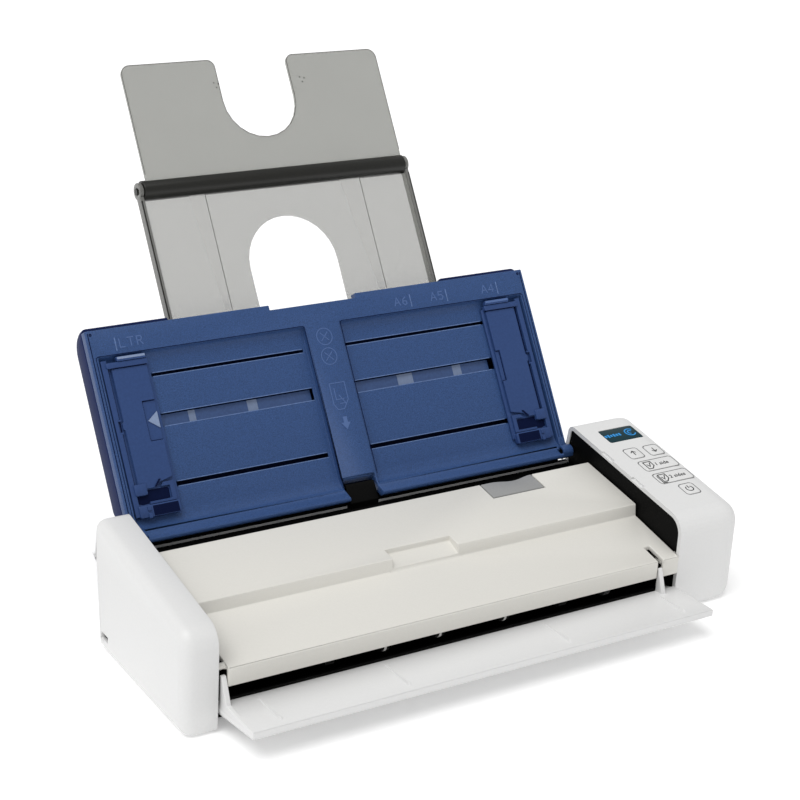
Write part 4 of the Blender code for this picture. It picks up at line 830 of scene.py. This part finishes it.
@dataclass
class InputTray:
    """The blue tray, its guides and the marks moulded on it."""

    shop: Workshop
    face: float = 2.0
    mark: float = 0.5
    sizes: tuple[tuple[str, float, int], ...] = (
        ("LTR", -107.95, 1), ("A6", 52.5, -1), ("A5", 74.0, -1), ("A4", 105.0, -1),
    )
    letter: float = 4.2
    mark_v: float = 87.2
    well: float = 5.4
    slots: tuple[Point, ...] = ((74.1, 1.6), (52.4, 6.0), (21.8, 2.2))
    halves: tuple[Point, ...] = ((-92.0, -12.2), (12.2, 92.0))
    strips: tuple[Point, ...] = (
        (-92.0, -77.7), (-74.2, -46.7), (-41.4, -12.2), (12.2, 37.5), (46.4, 70.4), (75.4, 92.0),
    )
    stops: tuple[Point, ...] = ((-77.7, -74.2), (-46.7, -41.4), (37.5, 46.4), (70.4, 75.4))
    behind: Point = (49.7, 55.1)
    home: tuple[str, str] = ("input_tray", "blue_plastic")

    def build(self) -> None:
        """Dresses the tray and its guides, then draws the marks, the painted highlights and the painted
        shade.
        """
        self.shop.soften("tray_front_panel", Look.BLUE, 0.5)
        self.shop.soften("tray_back_shell", Look.SHELL, 0.6)
        for side in ("left", "right"):
            self.shop.dress(f"tray_pin_{side}", Look.BLACK)
        self.shop.dress("guide_pinion", Look.GEAR)
        self.draw_sizes()
        self.draw_symbols()
        self.draw_seams()
        self.draw_slots()

    def draw_sizes(self) -> None:
        """The paper size marks above the wells."""
        place = self.shop.plane_on_tray(self.face)
        lines: list[list[Point]] = []
        ticks: list[list[Point]] = []
        tall = self.letter
        for text, x, way in self.sizes:
            ticks.append([(x, self.mark_v), (x, self.mark_v + 6.4)])
            length = (len(text) * Stroke.PITCH - 0.25) * tall
            start = x + 1.6 if way > 0 else x - 1.8 - length
            lines += Stroke.word(text, start, self.mark_v + 1.4, tall)
        self.shop.ribbon("size_marks", lines, place, self.mark, 0.12, Look.MARK, *self.home)
        self.shop.ribbon("size_ticks", ticks, place, 0.55, 0.15, Look.EDGE, *self.home)

    def draw_seams(self) -> None:
        """The seam, the peg holes beside the wells, and painted shade along the wells' rims."""
        place = self.shop.plane_on_tray(self.face)
        for name, x in (("seam_left", -120.4), ("seam_right", 121.2)):
            line = [(x, 8.0), (x, 97.0)]
            self.shop.ribbon(name, [line], place, 0.4, 0.1, Look.SHADE, *self.home)
        # Dark lines round each well's sides and top edge: painted shade at the rims.
        for name, low, high in (("left", -118.9, -10.1), ("right", 10.1, 119.4)):
            rim = [
                (low, 8.0), (low, 84.9), (low + 1.0, 85.6), (high - 1.0, 85.6), (high, 84.9), (high, 8.0),
            ]
            self.shop.ribbon(f"well_rim_painted_shade_{name}", [rim], place, 0.3, 0.08, Look.SHADE, *self.home)
        holes = [Stroke.circle(-119.2, 96.2, 0.45), Stroke.circle(119.8, 96.2, 0.45)]
        self.shop.ribbon("peg_holes", holes, place, 0.5, 0.05, Look.SHADE, *self.home)

    def draw_slots(self) -> None:
        """Painted highlights along the edges of the wells' slots, and the pieces that show behind the middle
        one, coloured lighter as painted light.
        """
        # Pale lines along each slot's edges: painted highlights.
        edges = []
        for half in self.halves:
            for middle, wide in self.slots:
                for edge in (middle - wide / 2 - 0.15, middle + wide / 2 + 0.15):
                    edges.append([(half[0], edge), (half[1], edge)])
        place = self.shop.plane_on_tray(self.well)
        self.shop.ribbon("slot_edge_highlights", edges, place, 0.42, 0.06, Look.EDGE, *self.home)
        # The strip and stops behind the middle slot are coloured lighter than the tray's blue so they read as
        # lit: painted light.
        rows = (("strip", self.strips, 8.5, Look.STRIP), ("stop", self.stops, 8.4, Look.PALE_BLUE))
        for name, spans, depth, look in rows:
            place = self.shop.plane_on_tray(depth)
            foot, head = self.behind
            for number, (low, high) in enumerate(spans):
                outline = [(low, foot), (high, foot), (high, head), (low, head)]
                self.shop.prism(f"slot_{name}_{number}", outline, place, 0.0, 0.3, look, *self.home)

    def draw_symbols(self) -> None:
        """The plain loading symbols on the rib between the wells."""
        place = self.shop.plane_on_tray(self.face)
        lines: list[list[Point]] = []
        for v in (79.0, 69.0):
            lines.append(Stroke.circle(-0.4, v, 4.2))
            lines.append([(-2.5, v - 2.1), (1.7, v + 2.1)])
            lines.append([(-2.5, v + 2.1), (1.7, v - 2.1)])
        lines.append([
            (-4.2, 55.4), (4.2, 55.4), (4.2, 46.6), (1.0, 42.2), (-2.4, 42.2), (-4.2, 45.0), (-4.2, 55.4),
        ])
        lines.append([(-2.2, 53.0), (-2.2, 47.2), (2.2, 47.2)])
        lines.append([(-0.4, 49.4), (2.4, 45.0), (-0.8, 45.0)])
        self.shop.ribbon("rib_symbols", lines, place, 0.4, 0.1, Look.MARK, *self.home)
        arrow = [
            (-1.2, 38.4), (1.0, 38.4), (1.0, 35.4), (2.4, 35.4), (-0.1, 32.0), (-2.6, 35.4), (-1.2, 35.4),
        ]
        self.shop.prism("rib_arrow", arrow, place, -0.05, 0.15, Look.MARK, *self.home)


@dataclass
class PaperGuides:
    """The two guides that slide in the tray's wells, and the fences that fold up from them."""

    shop: Workshop
    recess: tuple[float, float, float] = (101.5, 43.0, 62.2)
    notch: tuple[float, float, float] = (97.5, 42.0, 58.0)
    hook: tuple[float, float] = (48.4, 55.4)
    edge: tuple[float, float] = (95.0, 112.4)
    fence: tuple[float, float] = (24.7, 79.0)
    fence_back: float = 3.8
    pin_radius: float = 0.6
    floor: float = 3.9

    def build(self) -> None:
        """Builds and dresses both guides."""
        for side, way in (("left", -1), ("right", 1)):
            self.shop.soften(f"guide_slider_{side}", Look.BLUE_SMOOTH, 0.2, 2)
            self.draw_fence(side, way)
            self.draw_slider(side, way)

    def turned(self, way: int, outline: Sequence[Point]) -> list[Point]:
        """The outline on its own side of the paper."""
        return [(way * x, v) for x, v in outline]

    def piece(
        self, name: str, side: str, way: int, outline: Sequence[Point], depth: float, tall: float, look: Look,
        body: str = "guide", width: float = 0.15,
    ) -> bpy.types.Object:
        """A flat piece on one guide.

        Args:
            name: What the piece is.
            side: Left or right.
            way: -1 for the left and 1 for the right.
            outline: Its corners, with x measured outwards from the middle.
            depth: How deep its foot lies behind the tray's pivot.
            tall: How far it stands towards the operator.
            look: Its finish.
            body: Guide or fence.
            width: The rounding of its edges.

        Returns:
            The new object.
        """
        place = self.shop.plane_on_tray(depth)
        return self.shop.prism(
            f"{name}_{side}", self.turned(way, outline), place, 0.0, tall, look, f"{body}_{side}",
            "blue_plastic", width,
        )

    def draw_fence(self, side: str, way: int) -> None:
        """The fence plate with its finger recess, a painted shade line round the recess's floor, and on the
        left the mark in it.

        Args:
            side: Left or right.
            way: -1 for the left and 1 for the right.
        """
        inner, outer = self.edge
        foot, head = self.fence
        deep, low, high = self.recess if way < 0 else self.notch
        hook_low, hook_high = self.hook
        outline = [
            (inner, foot + 0.8), (inner + 7.0, foot - 0.9), (inner + 9.6, foot - 3.0),
            (outer - 0.4, foot - 3.0), (outer, foot + 2.0), (outer, hook_low + 1.4),
            (outer + 0.9, hook_low + 2.2), (outer + 0.9, hook_high - 2.2),
            (outer, hook_high - 1.4), (outer, head - 1.0), (outer - 1.0, head), (inner + 0.6, head),
            (inner, head - 0.6), (inner, high), (deep, high), (deep, low), (inner, low),
        ]
        back = self.fence_back
        plate = self.piece("fence_plate", side, way, outline, back, 1.5, Look.BLUE_SMOOTH, "fence", 0.2)
        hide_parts(f"guide_plate_{side}")
        floor = [(inner, low - 1.0), (deep + 1.0, low - 1.0), (deep + 1.0, high + 1.0), (inner, high + 1.0)]
        self.piece("fence_recess", side, way, floor, back, 0.6, Look.BLUE_SMOOTH, "fence", 0.0)
        near, far = inner + 0.1, deep - 0.2
        # A dark line round the recess's floor: painted shade at its edges.
        rim = self.turned(way, [(near, high - 0.2), (far, high - 0.2), (far, low + 0.2), (near, low + 0.2)])
        self.shop.ribbon(
            f"fence_recess_line_{side}", [rim], self.shop.plane_on_tray(back - 0.6), 0.4, 0.04,
            Look.SHADE, f"fence_{side}", "blue_plastic",
        )
        if way < 0:
            middle = (low + high) / 2
            arrow = [(near, middle - 4.0), (inner + 5.4, middle), (near, middle + 4.0)]
            self.piece("fence_arrow", side, way, arrow, back - 0.5, 0.6, Look.PALE_BLUE, "fence", 0.1)
        aside = Matrix.Translation((way * (outer - 0.4) * MM, 0, 0))
        rings = [(v, self.pin_radius) for v in (foot - 1.6, head + 1.6)]
        self.shop.turned(
            f"fence_pin_{side}", rings, self.shop.plane_on_tray(back - 0.75) @ aside, 12,
            Look.BLUE_SMOOTH, f"fence_{side}", "blue_plastic",
        )

    def draw_slider(self, side: str, way: int) -> None:
        """The slider's outer rail, its head, a dark slab of painted shade for the pocket at its foot, and the
        small pins there; painted shade also lies in the gaps and under the head, and a painted highlight
        along the head's top.

        Args:
            side: Left or right.
            way: -1 for the left and 1 for the right.
        """
        rail = [(114.3, 9.4), (116.9, 9.4), (117.1, 83.4), (114.3, 83.4), (114.3, 55.8), (115.2, 54.8),
                (115.2, 49.2), (114.3, 48.2)]
        self.piece("guide_rail", side, way, rail, self.floor, 1.5, Look.BLUE_SMOOTH)
        # Dark strips in the gap beside the rail and under the head: painted shade.
        gap = [(113.6, 22.0), (114.2, 22.0), (114.2, 80.6), (113.6, 80.6)]
        self.piece("guide_gap_painted_shade", side, way, gap, self.floor, 0.06, Look.SHADE, width=0.0)
        head_shade = [(95.2, 79.05), (112.6, 79.05), (112.6, 79.5), (95.2, 79.5)]
        self.piece("guide_head_painted_shade", side, way, head_shade, self.floor, 2.2, Look.SHADE, width=0.0)
        hook_low, hook_high = self.hook
        for name, low in (("hook_foot", hook_low), ("hook_head", hook_high - 0.9)):
            high = low + 0.9
            bar = [(113.6, low), (115.2, low), (115.2, high), (113.6, high)]
            self.piece(f"guide_{name}", side, way, bar, self.floor, 1.4, Look.BLUE_SMOOTH)
        head = [(94.9, 82.1), (109.4, 82.1), (109.8, 84.3), (95.3, 84.3)]
        self.piece("guide_head", side, way, head, self.floor, 2.9, Look.BLUE_SMOOTH, width=0.3)
        # A lighter band along the head's top edge: painted highlight, brighter on the left guide than on the
        # right.
        highlight_band = [(95.4, 83.0), (109.2, 83.0), (109.2, 84.1), (95.4, 84.1)]
        highlight_look = Look.PALE_BLUE if way < 0 else Look.MARK
        self.piece("guide_head_highlight", side, way, highlight_band, 1.1, 0.2, highlight_look, width=0.05)
        # A dark slab over the slider's foot: painted shade standing for a recessed pocket.
        pocket = [(97.8, 16.0), (111.8, 14.8), (114.1, 15.6), (114.3, 22.6), (113.4, 24.2),
                  (111.9, 21.2), (98.4, 21.2), (97.6, 20.4)]
        self.piece("guide_pocket_painted_shade", side, way, pocket, self.floor, 0.1, Look.SHADE, width=0.0)
        sill = [(95.0, 14.5), (108.4, 14.5), (108.4, 15.7), (97.2, 15.7), (97.2, 21.8),
                (101.6, 21.8), (100.2, 23.6), (95.0, 23.6)]
        self.piece("guide_sill", side, way, sill, self.floor, 1.2, Look.BLUE_SMOOTH)
        hook = [(104.0, 22.0), (105.0, 22.0), (102.2, 25.2), (101.2, 25.2)]
        self.piece("guide_hook", side, way, hook, 2.3, 0.5, Look.SHADE, width=0.1)
        for number, v in ((1, 12.6), (2, 9.2)):
            pin = [(109.2, v - 1.2), (111.0, v - 1.2), (111.0, v + 1.2), (109.2, v + 1.2)]
            self.piece(f"guide_pin{number}", side, way, pin, 1.9, 0.9, Look.BLUE_SMOOTH, width=0.4)
        face = [(95.4, 8.9), (108.2, 8.9), (108.2, 13.6), (95.4, 13.6)]
        self.piece("guide_foot_face", side, way, face, 1.62, 0.12, Look.SHADE, width=0.05)


@dataclass
class Extension:
    """The smoked sheets, the rails and the tube between them."""

    shop: Workshop
    face: float = 8.6
    foot: float = 100.0
    head: float = 158.6
    sides: Point = (-70.8, 72.0)
    top: float = 226.4
    notch: tuple[float, float, float] = (-0.6, 20.2, 184.6)
    corner: float = 4.6
    lip: float = 3.8
    seams: tuple[float, ...] = (-42.3, 44.7)
    dots: tuple[Point, ...] = ((-22.3, 213.5), (26.0, 213.2))

    def build(self) -> None:
        """Dresses the extension's pieces."""
        self.shop.soften("extension_lower", Look.SMOKE_CLEAR, 0.3)
        self.shop.soften("extension_tube", Look.TUBE, 0.3)
        for side in ("left", "right"):
            self.shop.soften(f"extension_rail_{side}", Look.RAIL, 0.3)
        self.shop.dress("extension_rod", Look.TUBE)
        self.draw_upper()
        self.draw_marks()

    def outline(self) -> list[Point]:
        """The upper sheet's edge from its upper left corner, round the notch, to its upper right.

        Returns:
            The edge's points, in millimetres on the tray.
        """
        low, high = self.sides
        middle, radius, foot = self.notch
        centre = foot + radius
        left, right = middle - radius, middle + radius
        small, lip = self.corner, self.lip
        points = Stroke.circle(low + small, self.top - small, small, 180, -90)
        points += Stroke.circle(left - lip, self.top - lip, lip, 90, -90)
        points += Stroke.circle(middle, centre, radius, 180, 180)
        points += Stroke.circle(right + lip, self.top - lip, lip, 180, -90)
        return points + Stroke.circle(high - small, self.top - small, small, 90, -90)

    def draw_upper(self) -> None:
        """The upper sheet and the dark line round its edge."""
        node = self.shop.nodes["extension_upper"]
        place = self.shop.plane_on_tray(0.0)
        back = place.inverted()
        corners = [back @ node.matrix_world @ corner.co / MM for corner in node.data.vertices]
        foot = min(corner.y for corner in corners)
        depths = sorted(corner.z for corner in corners)
        low, high = self.sides
        edge = self.outline()
        sheet = [(low, foot)] + edge + [(high, foot)]
        piece = self.shop.prism(
            "upper_sheet", sheet[::-1], place, depths[0], depths[-1], Look.SMOKE, "extension_top",
            "smoked_sheet",
        )
        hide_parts("extension_upper")
        self.shop.ribbon(
            "upper_sheet_edge", [[(low, self.top - 55.0)] + edge + [(high, self.top - 55.0)]],
            self.shop.plane_on_tray(-depths[-1]), 0.35, 0.03, Look.SEAM, "extension_top", "smoked_sheet",
        )

    def draw_marks(self) -> None:
        """The seams, the pale bands and the dots on the sheets."""
        place = self.shop.plane_on_tray(self.face)
        seams = [[(x, self.foot), (x, self.head)] for x in self.seams]
        self.shop.ribbon("sheet_seams", seams, place, 0.3, 0.03, Look.SEAM, "extension", "smoked_sheet")
        bands = (
            ("left", [(-51.0, self.head), (-42.5, self.head), (-42.5, self.foot), (-46.0, self.foot)]),
            ("right", [(33.0, self.head), (44.5, self.head), (44.5, self.foot), (40.5, self.foot)]),
        )
        for name, band in bands:
            self.shop.prism(
                f"sheet_band_{name}", band, place, 0.01, 0.03, Look.BAND, "extension", "smoked_sheet"
            )
        dots = []
        for x, v in self.dots:
            dots += [Stroke.circle(x + a, v + b, 0.25) for a, b in ((-1.1, 1.0), (1.3, 0.4), (-0.1, -1.5))]
        self.shop.ribbon("sheet_dots", dots, place, 0.35, 0.03, Look.SEAM, "extension_top", "smoked_sheet")
        for name, x in (("left", -75.6), ("right", 74.2)):
            line = [(x, self.foot), (x, self.head)]
            self.shop.ribbon(
                f"rail_edge_{name}", [line], place, 0.7, 0.05, Look.TUBE, "extension", "black_plastic"
            )


@dataclass
class OutputTray:
    """The white output tray and the pale wheels in the exit above it."""

    shop: Workshop
    ribs: tuple[float, ...] = (-106.0, -43.0, 43.3, 109.8)
    reach: Point = (-50.0, -69.5)
    wheels: tuple[float, ...] = (-37.7, -8.6, 27.0)

    def build(self) -> None:
        """Dresses the tray and adds the low ribs on its plate and the exit wheels."""
        self.shop.soften("output_tray", Look.WHITE, 0.4)
        for number, x in enumerate(self.ribs):
            self.draw_rib(f"plate_rib_{number}", x)
        low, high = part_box("exit_roller")
        axis = (Vector(low) + Vector(high)) / 2
        sideways = Matrix(((0, 1, 0, 0), (1, 0, 0, 0), (0, 0, 1, 0), (0, 0, 0, 1)))
        radius = (high[2] - low[2]) / 2 / MM + 0.12
        rings = ((-0.7, radius - 0.2), (-0.5, radius), (0.5, radius), (0.7, radius - 0.2))
        for number, x in enumerate(self.wheels):
            centre = Vector((self.shop.layout.at(x, 0, 0).x, axis.y, axis.z))
            place = Matrix.Translation(centre) @ sideways
            self.shop.turned(
                f"exit_wheel_{number}", rings, place, 24, Look.WHEEL, "exit", "grey_plastic"
            )

    def draw_rib(self, name: str, x: float) -> None:
        """A low rib that rises towards the plate's front edge and ends there.

        Args:
            name: The piece's name.
            x: Its place across the tray, in millimetres.
        """
        back, front = self.reach
        high = self.shop.height_of("output_tray", x, back)
        low = self.shop.height_of("output_tray", x, front)
        ends = ((back, high, 0.5, 0.15), (front, low, 1.1, 1.1), (front - 1.6, low, 0.5, 0.1))
        shape = bmesh.new()
        loft(shape, [
            [
                shape.verts.new(self.shop.layout.at(x + way * wide, y, z + up))
                for way, up in ((-1, -0.2), (1, -0.2), (0.35, tall), (-0.35, tall))
            ]
            for y, z, wide, tall in ends
        ])
        self.shop.add(name, mesh_of(shape, name), Look.WHITE, "output_tray", "white_plastic")


@dataclass
class Drive:
    """The rollers, gears, belt and motor."""

    shop: Workshop
    looks: tuple[tuple[str, Look], ...] = (
        ("drive_motor", Look.STEEL),
        ("motor_gear", Look.GEAR),
        ("transfer_gear", Look.GEAR),
        ("transfer_post", Look.STEEL),
        ("drive_gear", Look.GEAR),
        ("feed_gear", Look.GEAR),
        ("feed_roller", Look.RUBBER),
        ("drive_roller", Look.RUBBER),
        ("exit_roller", Look.BLACK),
        ("exit_belt", Look.RUBBER),
    )

    def build(self) -> None:
        """Dresses every piece of the drive."""
        for node, look in self.looks:
            self.shop.dress(node, look)


@dataclass
class Studio:
    """The floor, the lights and the camera."""

    shop: Workshop
    camera_place: tuple[float, float, float] = (-440.93, -668.86, 433.42)
    forward: tuple[float, float, float] = (0.50086, 0.78291, -0.36906)
    right_rise: float = 0.0525
    lens: float = 85.63
    shift: Point = (0.0040, -0.0036)
    sky: float = 0.50
    key_from: tuple[float, float, float] = (-0.36, -0.14, 0.90)
    key_power: float = 1.70
    key_spread: float = 46.0
    box_at: tuple[float, float, float] = (-1.2, 0.4, 1.3)
    box_power: float = 0.9

    def build(self) -> None:
        """Sets up the stage."""
        self.floor()
        self.lights()
        self.camera()

    def floor(self) -> None:
        """A plain pale floor under and behind the scanner."""
        shape = bmesh.new()
        bmesh.ops.create_grid(shape, x_segments=1, y_segments=1, size=6.0)
        mesh = bpy.data.meshes.new("floor")
        shape.to_mesh(mesh)
        shape.free()
        floor = bpy.data.objects.new("floor", mesh)
        bpy.context.scene.collection.objects.link(floor)
        floor.location.z = -0.0002
        finish = Finish((0.93, 0.93, 0.93), 0.9, 0.0, 0.0, 0.005, glow=0.24)
        mesh.materials.append(finish.material("studio_floor"))

    def lights(self) -> None:
        """A broad soft light from the upper left, a soft box behind it and an even sky."""
        bpy.context.scene.view_settings.view_transform = "Standard"
        world = bpy.data.worlds.new("studio")
        world.use_nodes = True
        sky = world.node_tree.nodes["Background"]
        sky.inputs["Color"].default_value = (1.0, 1.0, 1.0, 1.0)
        sky.inputs["Strength"].default_value = self.sky
        bpy.context.scene.world = world
        key = bpy.data.lights.new("key", "SUN")
        key.energy = self.key_power
        key.angle = radians(self.key_spread)
        self.hang("key", key, Vector(self.key_from))
        box = bpy.data.lights.new("soft_box", "AREA")
        box.size = 1.0
        box.energy = self.box_power
        self.hang("soft_box", box, Vector(self.box_at)).location = self.box_at

    def hang(self, name: str, light: bpy.types.Light, away: Vector) -> bpy.types.Object:
        """Adds a light that shines from a direction towards the scanner.

        Args:
            name: The lamp's name.
            light: The light.
            away: The direction from the scanner to the lamp.

        Returns:
            The lamp, at the origin.
        """
        lamp = bpy.data.objects.new(name, light)
        bpy.context.scene.collection.objects.link(lamp)
        lamp.rotation_euler = away.to_track_quat("Z", "Y").to_euler()
        return lamp

    def camera(self) -> None:
        """The camera in front of the scanner's left end, a little above it."""
        data = bpy.data.cameras.new("view")
        data.lens = self.lens
        data.shift_x, data.shift_y = self.shift
        data.clip_end = 30.0
        item = bpy.data.objects.new("view", data)
        bpy.context.scene.collection.objects.link(item)
        ahead = Vector(self.forward).normalized()
        level = ahead.cross(Vector((0, 0, 1))).normalized()
        rise = level.cross(ahead)
        lean = self.right_rise / rise.z
        right = (level * (1 - lean * lean) ** 0.5 + rise * lean).normalized()
        up = right.cross(ahead)
        turn = Matrix((right, up, -ahead)).transposed().to_4x4()
        item.matrix_world = Matrix.Translation(self.shop.layout.at(*self.camera_place)) @ turn
        bpy.context.scene.camera = item


def corners(pair: Sequence[Sequence[float]]) -> list[list[float]]:
    """A box as plain lists of numbers."""
    return [[float(value) for value in corner] for corner in pair]


def main() -> None:
    """Builds every sub-assembly."""
    logging.basicConfig(level=logging.INFO, format="%(name)s: %(message)s")
    shop = Workshop(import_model())
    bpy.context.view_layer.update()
    for assembly in (
        Housing, OperatorPanel, Cover, InputTray, PaperGuides, Extension, OutputTray, Drive, Studio,
    ):
        assembly(shop).build()
        LOG.info("built %s", assembly.__name__)


if __name__ == "__main__":
    main()
